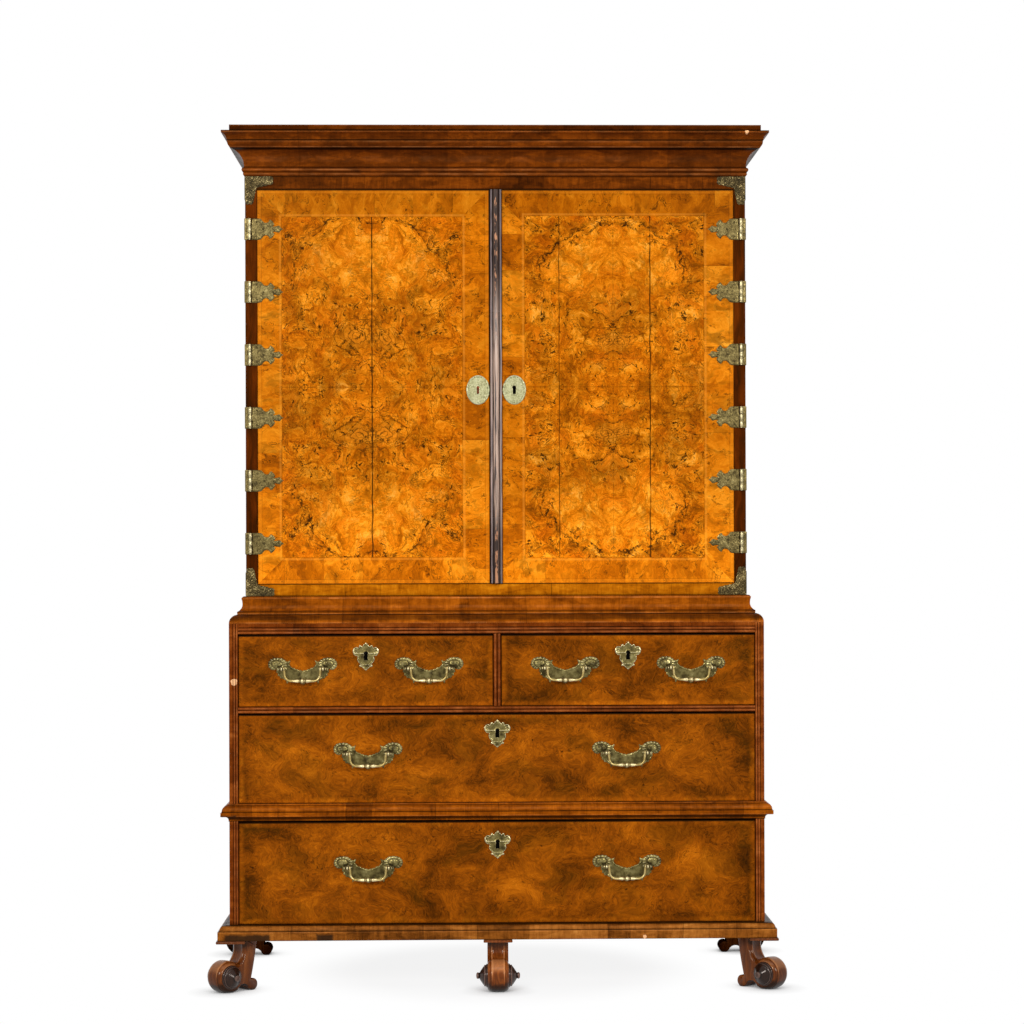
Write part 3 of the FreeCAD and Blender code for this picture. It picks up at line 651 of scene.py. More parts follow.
def mouldingWood(
    name, stops, patch, seed, patchy=0.2, bite=1.7, arrisWearAndLight=(), quirkShade=(), chips=(), burnt=(), level=1.0,
    cross=1.0, rough=(0.28, 0.40), gloss=0.06, reeded=None,
):
    # cross-grained lengths glued side by side; arrises are painted pale as rubbing and as highlight, and quirks
    # are painted dark with shade, each as height, half width and strength; chips show bare wood, as x, z and size;
    # burnt patches are x from, x to, z from, z to
    wires = Finish(name)
    # the mitres lie where |x| + y is 296
    corner = abs(wires.x) + wires.y - 296
    along = wires.x.blend(corner.step(-0.2, 0.2), wires.y)
    bend = (wires.spot.noise(90, 2) - 0.5) * 10
    run = (along + bend) / patch + seed
    pieces = run + (run * 2.7).sine() * 0.3
    leaf = pieces.floor()
    luck = leaf.chance()
    at = wires.join(along + bend, wires.z * 0.10, leaf * 33.3)
    streak = at.noise(7, 6, 0.66)
    fine = at.stretch((4, 4, 1)).noise(5, 3)
    smoke = wires.spot.stretch((0.4, 1, 1)).drift(30, 26).noise(20, 6, 0.62)
    fibre = (streak - 0.5) * 0.28 * cross + (fine - 0.5) * 0.16 * cross
    tone = fibre + (smoke - 0.5) * 0.56
    tone = tone * bite + (luck - 0.5) * patchy + 0.5
    colour = tone.ramp(stops)
    colour = colour.tint(level)
    rubAndLight = wires.spot.stretch((0.5, 1, 1)).noise(22, 5).step(0.46, 0.64, 0.35, 1.0)
    # painted highlights, with rubbing, along the arrises
    for height, width, strength in arrisWearAndLight:
        ridge = (wires.z - height).line(width) * rubAndLight * strength
        colour = colour.mix(ridge, colour.tint(1.9).mix(0.35, (214, 146, 88)))
    # painted shade in the quirks
    for height, width, strength in quirkShade:
        colour = colour.mix((wires.z - height).line(width) * strength, (22, 8, 2))
    if reeded:
        # how far forward the crests and the grooves of the reeds lie
        # painted highlights on the crests of the reeds, painted shade in their grooves
        crest = wires.y.step(reeded[0], reeded[0] + 0.6, 0.55, 0.0)
        colour = colour.mix(crest * rubAndLight, colour.tint(1.7).mix(0.4, (206, 138, 86)))
        colour = colour.mix(wires.y.step(reeded[1] - 1.0, reeded[1], 0.0, 0.8), (30, 10, 4))
    joint = abs(pieces.fract() - 0.5).step(0.490, 0.5, 0.0, 0.6 * cross)
    colour = colour.mix(joint, (34, 13, 3))
    for x, z, size in chips:
        off = wires.join(wires.x - x, wires.z - z)
        colour = colour.mix(off.drift(4, 3).length().step(size - 1, size, 1.0, 0.0), (240, 184, 132))
    for patchBox in burnt:
        side, end = panelEdges(wires, patchBox)
        gap = side.least(end) + (wires.spot.noise(16, 4) - 0.5) * 9
        colour = colour.mix(gap.step(-2, 5, 0.0, 0.9), (38, 27, 19))
    # painted shade in corners and crevices
    colour = wires.cornerShade(colour, 12, 0.25)
    wires.bump(streak, 0.16, 0.3)
    spread = smoke.step(0.3, 0.7, *rough)
    return wires.surface(colour, spread, gloss, varnish)


def ebonised():
    wires = Finish("ebonisedReed")
    at = wires.spot.stretch((1, 1, 0.04))
    streak = at.noise(1.6, 5, 0.6)
    colour = streak.ramp([(0.3, 16, 11, 10), (0.55, 38, 26, 24), (0.75, 92, 70, 63)])
    # painted reflection: a pale band around the height of the lock, where the finish is also glossier
    wornAndLit = wires.z.step(890, 1000, 0.1, 0.84) * wires.z.step(1240, 1480, 1.0, 0.1)
    rubbedAndLit = wires.spot.stretch((1, 1, 0.03)).noise(3, 4).step(0.34, 0.58) * wornAndLit
    crest = wires.y.step(-213.2, -210.8, 1.0, 0.0)
    colour = colour.mix(rubbedAndLit * crest, (202, 172, 152))
    # the outer reeds catch the light, the middle one is chipped to the bare wood
    aside = abs(wires.x)
    rims = (aside - 9.3).line(2.2) * streak.step(0.35, 0.6, 0.2, 0.65)
    colour = colour.mix(rims, (146, 132, 132))
    chips = wires.spot.stretch((1, 1, 0.2)).noise(3.4, 4) + wires.z.step(850, 960, 0.09, 0.0)
    chips = chips.step(0.57, 0.63, 0.0, 0.85) * aside.step(2.2, 3.6, 1.0, 0.0)
    colour = colour.mix(chips * (1.0 - wornAndLit), (204, 146, 108))
    wires.bump(streak, 0.3, 0.3)
    gloss = wornAndLit.step(0.1, 0.6, 0.10, 0.34)
    return wires.surface(colour, wornAndLit.step(0.1, 0.6, 0.45, 0.24), gloss)


paleBrass = [(0.3, 106, 103, 70), (0.5, 154, 151, 112), (0.7, 184, 181, 146)]
plateStops = [
    (0.3, 54, 45, 20), (0.48, 96, 85, 46), (0.66, 127, 115, 70), (0.82, 162, 152, 106),
]
bailStops = [(0.3, 120, 100, 52), (0.5, 168, 146, 88), (0.7, 206, 188, 132)]
leafStops = [
    (0.3, 52, 43, 21), (0.48, 93, 80, 44), (0.66, 123, 108, 65), (0.82, 158, 145, 101),
]
mountStops = [
    (0.3, 26, 20, 8), (0.46, 52, 42, 20), (0.60, 80, 67, 38), (0.76, 126, 112, 74),
]


def agedBrass(name, stops, engraving=0.0, seed=0.0, speck=0.0, bite=1.0, fade=None, piercingColour=(10, 7, 4)):
    wires = Finish(name)
    cloud = wires.spot.noise(16, 5, 0.6)
    if speck:
        cloud = cloud.blend(speck, wires.spot.noise(3.2, 3, 0.6))
    cloud = (cloud - 0.5) * bite + 0.5
    colour = cloud.ramp(stops)
    if fade:
        # from the foot of the doors to their head
        colour = colour.tint(wires.z.step(820, 1600, *fade))
    rough = cloud.step(0.3, 0.7, 0.44, 0.30)
    dirt = wires.spot.noise(4.5, 4).step(0.56, 0.72, 0.0, 0.45)
    height = wires.spot.noise(3.5, 3)
    if engraving:
        # fine scrolls cut with a burin, dark with old polish
        at = wires.join(wires.x, wires.z, seed).drift(9, 5)
        scroll = (at.noise(9, 1) * 6).waves()
        cut = scroll.line(0.13)
        hatch = ((wires.x + wires.z) * 0.42).waves().line(0.2) * at.noise(7, 2).step(0.5, 0.56)
        cut = cut.most(hatch * 0.7)
        dirt = dirt.most(cut * engraving)
        height -= cut * 1.2
    wearAndLight = wires.wearAndLight()
    colour = colour.mix(wearAndLight.step(0.68, 0.98, 0.0, 0.7), (216, 202, 156))
    dirt = dirt.most(wearAndLight.step(0.05, 0.46, 0.88, 0.0))
    colour = colour.mix(dirt, (46, 37, 16))
    # inside piercings: painted black shade, unless the caller gives the bare wood of a dummy
    colour = colour.mix(wearAndLight.step(-0.9, -0.2, 1.0, 0.0), piercingColour)
    wires.bump(height, 0.25, 0.3)
    return wires.surface(colour, rough, metal=0.9)


def darkIron():
    wires = Finish("filedIron")
    cloud = wires.spot.noise(9, 6, 0.6)
    colour = cloud.ramp([(0.3, 26, 22, 20), (0.6, 52, 47, 43), (0.8, 82, 60, 42)])
    wires.bump(cloud, 0.3, 0.3)
    return wires.surface(colour, 0.6, metal=0.5)


walnutStops = [
    (0.34, 66, 30, 8), (0.50, 104, 52, 10), (0.64, 136, 74, 16), (0.84, 166, 98, 30),
]
stileStops = [
    (0.34, 38, 13, 1), (0.52, 72, 26, 1), (0.68, 100, 40, 2), (0.86, 128, 58, 6),
]
oakStops = [
    (0.34, 116, 82, 46), (0.55, 156, 116, 68), (0.72, 178, 138, 88), (0.9, 196, 160, 112),
]
pineStops = [
    (0.34, 98, 66, 36), (0.55, 140, 100, 58), (0.72, 166, 124, 76), (0.9, 188, 148, 100),
]
bossStops = [
    (0.30, 24, 13, 9), (0.48, 44, 25, 18), (0.62, 66, 40, 30), (0.82, 92, 58, 44),
]
footStops = [
    (0.30, 58, 24, 6), (0.48, 106, 50, 14), (0.62, 148, 78, 26), (0.82, 190, 112, 48),
]

bareRough, oakRough, footRough = (0.6, 0.75), (0.55, 0.7), (0.12, 0.22)
walnutUp = plainWood("walnutSide", walnutStops, "z", gloss=0.08)
walnutStile = plainWood("walnutStile", walnutStops, "z", gloss=0.06, seed=2.0, front=stileStops)
headRail = mouldingWood(
    "headRailWalnut", corniceStops, 150, 4.2, level=0.9, quirkShade=[(1630, 2, 0.5), (1604.6, 2.4, 0.95)],
)
floorRail = mouldingWood("floorRailWalnut", railAmber, 120, 6.8, 0.1, quirkShade=[(788, 1.6, 0.5), (811, 1.4, 0.5)])
lidWood = mouldingWood(
    "lidWalnut", corniceStops, 240, 3.7, bite=1.3, level=0.66, cross=0.4, rough=bareRough, gloss=0.0,
    arrisWearAndLight=[(1727, 1.6, 0.5)], quirkShade=[(1717.6, 1.6, 0.8)],
)
oakAlong = plainWood("oakAlong", oakStops, "y", rough=oakRough, gloss=0.2)
oakAcross = plainWood("oakAcross", oakStops, "x", rough=oakRough, gloss=0.2)
pineAcross = plainWood("pineAcross", pineStops, "x", rough=bareRough, gloss=0.15)
plateBrass = agedBrass("plateBrass", plateStops, bite=1.5)
bailBrass = agedBrass("bailBrass", bailStops)
leafBrass = agedBrass("engravedBrass", leafStops, 0.6, 5.0, 0.5, 1.5)
mountBrass = agedBrass("mountBrass", mountStops, 0.3, 7.0, 0.5, 2.0, (1.6, 0.95))
ovalBrass = agedBrass("ovalBrass", paleBrass, 0.35, 9.0, 0.5)
dummyBrass = agedBrass("dummyBrass", paleBrass, 0.35, 9.0, 0.5, piercingColour=(206, 112, 76))
iron = darkIron()
reed = ebonised()
footWood = plainWood(
    "footWalnut", footStops, "z", 14, footRough, 0.2, 6.0, (224, 156, 100), (1.0, 0.86, 0.7, 1), 0.45,
)
bossWood = plainWood(
    "bossWalnut", bossStops, "z", 14, footRough, 0.28, 8.0, (190, 152, 136), (1, 0.88, 0.8, 1), 0.5,
)
beadWood = mouldingWood(
    "beadWalnut", beadStops, 84, 9.1, chips=[(-525, 617, 7.2)], reeded=(chestFront - 2, chestFront + 0.1), level=0.8,
)
print("finishes wired")


def dress(node, finish):
    mesh = nodes[node].data
    mesh.materials.clear()
    mesh.materials.append(finish)


def soften(node, width):
    # takes the sharpness off a board's edges
    bevel = nodes[node].modifiers.new("wornEdges", "BEVEL")
    bevel.width = width * mm
    bevel.segments = 2
    bevel.limit_method = "ANGLE"
    bevel.angle_limit = math.radians(40)


for name, panel in doorPanels.items():
    dress(name, doorVeneer(name, panel))
    soften(name, 0.8)
# middle, height of the posts, how far the handles are from the middle, height of the shield
drawers = {
    "top_left_drawer": (-262.2, 643, 126, 667), "top_right_drawer": (262.2, 643, 126, 667),
    "middle_drawer": (0, 473, 258.5, 512), "bottom_drawer": (0, 246, 258.5, 290),
}
for index, name in enumerate(drawers):
    dress(name + "_front", drawerVeneer(name + "Veneer", name + "_front", 1.7 + index * 2.3))
    dress(name + "_box", oakAlong)
for name in ("cabinet_back", "chest_back"):
    dress(name, plainWood(name + "Pine", pineStops, "z", rough=bareRough, gloss=0.15, boards=name))
for finish, names in (
    (walnutStile, ("cabinet_left_side", "cabinet_right_side")),
    (walnutUp, ("chest_left_side", "chest_right_side")),
    (headRail, ("cabinet_top",)),
    (floorRail, ("cabinet_bottom",)),
    (lidWood, ("cornice_dust_board",)),
    (oakAcross, ("cabinet_shelves", "shelf_bearers")),
    (pineAcross, ("chest_top", "chest_bottom", "drawer_rails", "top_drawer_divider", "dust_boards", "drawer_stops")),
    (iron, ("left_door_bolt_guides", "left_door_top_bolt", "left_door_bottom_bolt", "right_door_lock")),
    (reed, ("right_door_astragal",)),
    (beadWood, ("edge_beading",)),
):
    for name in names:
        dress(name, finish)
mouldings = {
    "cornice": dict(
        stops=corniceStops, patch=210, seed=2.6, patchy=0.1, chips=[(503, 1714, 4.2)], cross=0.45, rough=(0.34, 0.46),
        arrisWearAndLight=[
            (1714, 1.6, 0.3), (1696, 2.6, 0.25), (1686, 1.4, 0.55), (1665, 9, 0.12), (1643.5, 2.2, 0.6),
            (1635, 2.4, 0.5),
        ],
        quirkShade=[
            (1717, 2.0, 0.95), (1699, 2.0, 0.85), (1683, 2.8, 0.95), (1648.8, 1.8, 0.7), (1639, 1.2, 0.5),
            (1631, 1.2, 0.6),
        ],
    ),
    "waist_moulding": dict(
        stops=mouldingStops, patch=66, seed=5.4, patchy=0.12, level=1.05,
        arrisWearAndLight=[(783.5, 1.9, 0.9), (766, 4.0, 0.25), (752.5, 1.6, 0.8), (734.5, 2.4, 0.45)],
        quirkShade=[(787, 1.4, 0.5), (757, 2.6, 0.55), (750.4, 1.6, 0.8), (744.5, 8.0, 0.62), (731.4, 1.8, 0.7)],
    ),
    "middle_moulding": dict(
        stops=mouldingStops, patch=88, seed=7.7, burnt=[(-556, -520, 344, 353)],
        arrisWearAndLight=[(373, 1.0, 0.5), (364.5, 3.0, 0.35), (350.5, 1.2, 0.3)],
        quirkShade=[(370.8, 1.3, 0.5), (358.4, 1.6, 0.6), (345, 4.6, 0.7), (339.4, 1.6, 0.95)],
    ),
    "base_moulding": dict(
        stops=baseStops, patch=74, seed=1.3, patchy=0.3, level=1.06, chips=[(293, 107, 4)],
        burnt=[(-545, -452, 96, 117), (-362, -326, 94, 117)],
        arrisWearAndLight=[(126, 4.0, 0.3), (119.6, 1.4, 0.5)],
        quirkShade=[(132.6, 1.8, 0.9), (121.8, 1.5, 0.6), (103.5, 1.2, 0.5)],
    ),
}
for name, section in mouldings.items():
    dress(name, mouldingWood(name + "Wood", **section))
print("boards dressed")


# clay: pieces worked in finer detail than the solids they stand for
class Clay:
    # points in mm, faces, and how worn each point is, 0 in a hollow and 1 on a rubbed edge; on the feet it holds
    # painted light and shade too
    def __init__(self):
        self.points, self.faces, self.wearAndLight = [], [], []

    def add(self, points, faces, wearAndLight):
        start = len(self.points)
        self.points += [Vector(point) for point in points]
        self.faces += [tuple(start + index for index in face) for face in faces]
        self.wearAndLight += wearAndLight

    def place(self, other, move):
        self.add([move(point) for point in other.points], other.faces, other.wearAndLight)

    def turned(self, rows, foot, along, turns=18):
        # rows hold radius, distance along the axis and wear
        foot, along = Vector(foot), Vector(along).normalized()
        side = along.orthogonal().normalized()
        rings = []
        for radius, reach, rubAndLight in rows:
            ring = []
            for k in range(turns):
                arm = Matrix.Rotation(2 * math.pi * k / turns, 3, along) @ side
                ring.append(foot + along * reach + arm * radius)
            rings.append((ring, rubAndLight))
        self.skin(rings)

    def skin(self, rings):
        # closed skin over rings of equally many points
        count = len(rings[0][0])
        points = [point for ring, rubAndLight in rings for point in ring]
        wearAndLight = [rubAndLight for ring, rubAndLight in rings for point in ring]
        faces = []
        for row in range(len(rings) - 1):
            for k in range(count):
                low, after = row * count + k, row * count + (k + 1) % count
                faces.append((low, after, after + count, low + count))
        last = (len(rings) - 1) * count
        faces.append(tuple(reversed(range(count))))
        faces.append(tuple(range(last, last + count)))
        self.add(points, faces, wearAndLight)

    def bored(self, rows, foot, along, turns):
        # turned, with a bore in place of the two end discs
        tube = Clay()
        tube.turned(rows, foot, along, turns)
        end = (len(rows) - 1) * turns
        tube.faces[-2:] = [(end + k, end + (k + 1) % turns, (k + 1) % turns, k) for k in range(turns)]
        self.add(tube.points, tube.faces, tube.wearAndLight)

    def swept(self, path, rows, sides=12):
        # a round bar along a path that lies in one x-z plane; rows hold radius and wear
        rings = []
        for index, (spot, (radius, rubAndLight)) in enumerate(zip(path, rows)):
            ahead = path[min(index + 1, len(path) - 1)] - path[max(index - 1, 0)]
            side = Vector((0, 1, 0))
            other = ahead.normalized().cross(side)
            turns = [2 * math.pi * k / sides for k in range(sides)]
            rings.append(([spot + (side * math.cos(a) + other * math.sin(a)) * radius for a in turns], rubAndLight))
        self.skin(rings)


def edgeGaps(points, loops):
    # distance from each point to the nearest edge of the loops
    starts = np.array([p for loop in loops for p in loop], float)
    ends = np.array([p for loop in loops for p in loop[1:] + loop[:1]], float)
    run = ends - starts
    square = np.maximum((run ** 2).sum(1), 1e-9)
    gaps = []
    for point in points:
        share = np.clip(((point - starts) * run).sum(1) / square, 0, 1)
        gaps.append(float(np.sqrt(((starts + run * share[:, None] - point) ** 2).sum(1).min())))
    return gaps


def isInside(point, loops):
    crossings = 0
    for loop in loops:
        for (x0, y0), (x1, y1) in zip(loop, loop[1:] + loop[:1]):
            if (y0 > point[1]) != (y1 > point[1]):
                crossings += point[0] < x0 + (point[1] - y0) * (x1 - x0) / (y1 - y0)
    return crossings % 2 == 1


def relief(loops, height, spacing):
    # a plate cut to the first loop, pierced by the others; height(u, v, gap) gives its face and wear;
    # inside a piercing the wear is -1, painted black as shade
    fine = []
    for loop in loops:
        path = []
        for start, end in zip(loop, loop[1:] + loop[:1]):
            cuts = max(1, math.ceil(math.dist(start, end) / spacing))
            for k in range(cuts):
                path.append(tuple(a + (b - a) * (k / cuts) for a, b in zip(start, end)))
        fine.append(path)
    rim = [point for path in fine for point in path]
    edges = []
    for path in fine:
        first = len(edges)
        edges += [(first + k, first + (k + 1) % len(path)) for k in range(len(path))]
    # staggered rows of points inside, clear of the edges
    rowShare, clearShare = 0.87, 0.55
    grid = []
    lowU, highU = min(p[0] for p in rim), max(p[0] for p in rim)
    lowV, highV = min(p[1] for p in rim), max(p[1] for p in rim)
    for row in range(int((highV - lowV) / (spacing * rowShare)) + 1):
        for column in range(int((highU - lowU) / spacing) + 2):
            point = (lowU + (column - 0.5 * (row % 2)) * spacing, lowV + row * spacing * rowShare)
            if isInside(point, loops):
                grid.append(point)
    grid = [point for point, gap in zip(grid, edgeGaps(grid, loops)) if gap > spacing * clearShare]
    points = rim + grid
    gaps = [0.0] * len(rim) + edgeGaps(grid, loops)
    heights = [height(u, v, gap) for (u, v), gap in zip(points, gaps)]
    solid = [(u, v, up) for (u, v), (up, rubAndLight) in zip(points, heights)] + [(u, v, 0) for u, v in rim]
    wearAndLight = [min(1, max(-1, rubAndLight)) for up, rubAndLight in heights]
    outer, pierced = len(fine[0]), [-1.0] * (len(rim) - len(fine[0]))
    wearAndLight[outer:len(rim)] = pierced
    wearAndLight += [0.0] * outer + pierced

    def triangles(spots):
        found = delaunay_2d_cdt([Vector(spot) for spot in spots], edges, [], 2, 1e-5)
        source = [first[0] for first in found[3]]
        return [tuple(source[index] for index in face) for face in found[2]]

    behind = len(points)
    faces = triangles(points)
    faces += [tuple(behind + index for index in reversed(face)) for face in triangles(rim)]
    faces += [(b, a, behind + a, behind + b) for a, b in edges]
    clay = Clay()
    clay.add(solid, faces, wearAndLight)
    return clay


def makePiece(name, clay, finish, body, stands, crease=36):
    mesh = bpy.data.meshes.new(name)
    mesh.from_pydata([point * mm for point in clay.points], [], clay.faces)
    mesh.attributes.new("wearAndLight", "FLOAT", "POINT").data.foreach_set("value", clay.wearAndLight)
    shell = bmesh.new()
    shell.from_mesh(mesh)
    bmesh.ops.recalc_face_normals(shell, faces=shell.faces)
    shell.to_mesh(mesh)
    shell.free()
    mesh.polygons.foreach_set("use_smooth", [True] * len(mesh.polygons))
    mesh.set_sharp_from_angle(angle=math.radians(crease))
    mesh.materials.append(finish)
    piece = bpy.data.objects.new(name, mesh)
    bpy.context.scene.collection.objects.link(piece)
    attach(piece, body)
    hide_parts(*stands)


def mirrorLoop(half):
    # the right half of a symmetrical outline, from its top to its bottom, made whole
    return half + [(-u, v) for u, v in reversed(half) if abs(u) > 1e-6]


def ease(value):
    value = min(1, max(0, value))
    return value * value * (3 - 2 * value)


def rounded(gap, reach):
    # quarter-round from 0 at an edge to 1 at this distance from it
    off = 1 - min(1, gap / reach)
    return math.sqrt(1 - off * off)


def furrow(off, at, width):
    # 1 in the bottom of a fine cut
    return math.exp(-(((off - at) / width) ** 2))


def keyLoop(u, v, grow=0.0, slot=3.3):
    # round end at (u, v), slot below
    radius, overlap = 3.3 + grow, 0.72
    turns = np.linspace(-overlap, math.pi + overlap, 15)
    top = [(u + radius * math.cos(a), v + radius * math.sin(a)) for a in turns]
    return top + [(u - slot, v - 13 - grow), (u + slot, v - 13 - grow)]


def onFront(x, y, z, right=1, up=1):
    # stands a flat plate on a face that looks forward; right or up is -1 for its mirror image
    return lambda p: Vector((x + right * p.x, y - p.z, z + up * p.y))


def onFlank(way, z, up=1):
    # stands a flat plate on a side of the cabinet, from its front edge backwards
    return lambda p: Vector((way * (cabinetHalf + p.z), cabinetFront + p.x, z + up * p.y))


nailRows = [(1.9, -0.4, 0.0), (1.9, 0.2, 0.0), (1.6, 0.75, 0.1), (0.9, 1.1, 0.2), (0.1, 1.2, 0.3)]


def nailDown(clay, spots, scale=1.0, turns=12):
    plateHeight = 1.3
    rows = [(radius * scale, reach * scale + plateHeight, rubAndLight) for radius, reach, rubAndLight in nailRows]
    for spot in spots:
        clay.turned(rows, (*spot, 0), (0, 0, 1), turns)


# drawer handles: winged plate with fluted lobes, turned posts, bail with a ringed knop
handle = {
    "plate": [
        (0, 0.4), (3.2, 2.0), (7.6, 1.9), (9.4, 3.6), (13.6, 3.9), (15.8, 6.0), (20.4, 6.9), (23.4, 9.4),
        (26.6, 13.4), (26.2, 16.2), (24.4, 21.8), (29.4, 19.0), (33.0, 19.8), (36.4, 23.2), (41, 25.6),
        (47, 26.9), (53, 27.0), (59, 26.2), (64, 23.4), (67.4, 19.4), (68.9, 14.6), (67.8, 9.2), (64.4, 4.8),
        (59.8, 2.6), (55.6, 3.0), (53.0, 4.8), (51.8, 1.8), (52.2, -2.0), (49.0, -4.4), (49.6, -8.6),
        (45.6, -10.0), (44.4, -13.8), (39.6, -14.2), (35.0, -17.4), (32.6, -18.2), (31.9, -22.6), (30.6, -24.6),
        (29.2, -22.6), (28.0, -19.2), (20, -20.4), (12, -21.2), (6.5, -22.4), (3.4, -25.0), (0, -26.2),
    ],
    "lobe": (51.0, 14.0, 17.5, 12.6),
    "post": (41.0, 5.0),
    "pivotOut": 15.0,
    "rise": 5.0,
    "drop": 24.0,
    "spacing": 1.7,
    # turned rows hold radius, distance along the axis and wear
    "postRows": [
        (1.7, -6.4, 0.3), (1.7, -2.2, 0.3), (3.0, -2.1, 0.4), (3.7, -1.4, 0.8), (3.9, 0, 1.0), (3.7, 1.6, 0.9),
        (2.6, 3.0, 0.4), (2.2, 3.6, 0.1), (2.9, 4.2, 0.6), (3.1, 5.2, 0.9), (2.4, 6.2, 0.9), (1.2, 6.6, 0.8),
        (0.1, 6.7, 0.8),
    ],
    "stemRows": [
        (4.2, 0.6, 0.3), (4.2, 1.6, 0.5), (3.0, 2.4, 0.4), (2.4, 4.0, 0.3), (2.4, 11.5, 0.4), (2.9, 14.6, 0.6),
    ],
    "eye": [
        (1.75, 34.4, 0.2), (3.3, 34.4, 0.4), (3.9, 35.2, 0.8), (3.9, 37.4, 0.8), (3.3, 38.2, 0.4),
        (1.75, 38.2, 0.2),
    ],
    # half the grip, from the elbow to the knop: distance from the middle, radius and wear
    "grip": [
        (21, 2.4, 0.75), (18, 2.6, 0.8), (15, 3.0, 0.9), (12, 3.5, 1.0), (9.5, 3.8, 1.0), (7.6, 3.6, 0.9),
        (6.6, 2.8, 0.3), (6.2, 2.5, 0.1), (5.6, 2.5, 0.1), (5.4, 3.4, 0.8), (4.6, 3.7, 0.9), (3.9, 3.3, 0.6),
        (3.6, 2.7, 0.15), (3.0, 2.9, 0.2), (2.6, 4.0, 0.8), (1.4, 4.5, 1.0), (0, 4.6, 1.0),
    ],
}


def plateFace(u, v, gap):
    side = abs(u)
    base = 0.5 + 0.9 * rounded(gap, 1.5)
    a, b = (side - handle["lobe"][0]) / handle["lobe"][2], (v - handle["lobe"][1]) / handle["lobe"][3]
    ring, turn = math.hypot(a, b), math.atan2(b, a)
    if side > 32 and v > 1.5 and ring < 1.35:
        # shell lobe: fluted border, a hollow and a leaf inside
        swell = 2.3 * max(0, 1 - 0.72 * ring * ring)
        flute = math.cos(turn * 15) * ease((ring - 0.58) / 0.14)
        leaf = math.cos(turn * 5 + ring * 5) * ease((0.56 - ring) / 0.2)
        dent = furrow(ring, 0.6, 0.08)
        hollow = max(0, 1 - math.hypot((side - 47) / 7.5, (v - 9.2) / 2.8))
        up = base + swell * rounded(gap, 3) + 0.4 * flute + 0.3 * leaf - 0.9 * dent - 1.6 * hollow
        return max(0.5, up), 0.6 + 0.3 * flute + 0.22 * leaf - 0.55 * dent - 0.8 * hollow
    stem = side - (3.2 + 0.17 * max(0, v + 20))
    border = gap - 2.3
    boss = math.hypot(side - handle["post"][0], v - handle["post"][1]) - 6.0
    raised = max(ease(-level / 0.9 + 0.5) for level in (stem, border, boss))
    return base * (0.55 + 0.45 * raised) + 0.5 * raised, 0.33 + 0.38 * raised


def bailClay():
    # the same centre line as the solid: arm, round elbow, swelling grip
    drop = handle["drop"]
    path, rows = [], []
    top, elbow, bend = Vector((36.0, 0, -1.5)), Vector((34.0, 0, -drop)), 13.0
    up, along = (top - elbow).normalized(), Vector((-1, 0, 0))
    corner = up.angle(along)
    centre = elbow + (up + along).normalized() * (bend / math.sin(corner / 2))
    spoke = elbow + up * (bend / math.tan(corner / 2)) - centre
    for k in range(5):
        share = k / 5
        path.append(top.lerp(centre + spoke, share))
        rows.append((3.0 - 0.5 * share, 0.55))
    for k in range(11):
        path.append(centre + Matrix.Rotation((math.pi - corner) * k / 10, 3, "Y") @ spoke)
        rows.append((2.5 - 0.2 * math.sin(math.pi * k / 10), 0.7))
    for x, radius, rubAndLight in handle["grip"]:
        path.append(Vector((x, 0, -drop)))
        rows.append((radius, rubAndLight))
    clay = Clay()
    clay.swept(path + [Vector((-p.x, 0, p.z)) for p in reversed(path[:-1])], rows + rows[-2::-1])
    for way in (-1, 1):
        clay.bored(handle["eye"], (0, 0, 0), (way, 0, 0), 16)
    return clay


# drawer escutcheon: crowned shield with ears
shield = {
    "half": [
        (0, 28.2), (1.6, 26.0), (4.4, 23.4), (6.6, 20.6), (8.0, 20.0), (10.2, 22.4), (12.9, 22.2), (13.6, 19.6),
        (14.6, 17.0), (17.2, 18.4), (20.4, 18.5), (24.0, 16.2), (26.0, 12.0), (25.8, 8.0), (23.6, 3.8),
        (20.6, 1.2), (17.6, 1.2), (15.8, 0.0), (16.8, -3.0), (17.1, -6.4), (15.2, -10.6), (11.8, -14.2),
        (10.0, -16.2), (13.2, -17.6), (12.2, -20.8), (8.2, -20.4), (6.4, -22.6), (3.6, -24.6), (0, -28.2),
    ],
    "key": (0.0, 6.0),
}


def shieldFace(u, v, gap):
    side = abs(u)
    keyGap = max(side - 3.3, 0) if -7 < v < 6 else math.hypot(u, v - 6) - 3.3
    base = 0.5 + 0.9 * rounded(gap, 1.4)
    ear = math.hypot(side - 20.6, v - 10.4)
    bars = max(abs(v - 6) - 1.1, 5 - side), max(abs(v + 17) - 0.8, side - 8)
    levels = [gap - 1.9, keyGap - 1.6, abs(ear - 3.2) - 0.8, *bars]
    raised = max(ease(-level / 0.9 + 0.5) for level in levels)
    leaf = 0.12 * math.cos(side * 1.1) * math.cos(v * 0.8)
    return base * (0.6 + 0.4 * raised) + 0.45 * raised, 0.44 + 0.45 * raised + leaf


def lockFace(u, v, gap):
    screw = math.hypot(abs(u) - 25, abs(v) - 16)
    return 12.2 + 0.8 * rounded(gap, 1.2) - (0.5 if abs(screw - 3.4) < 0.8 else 0), 0.5


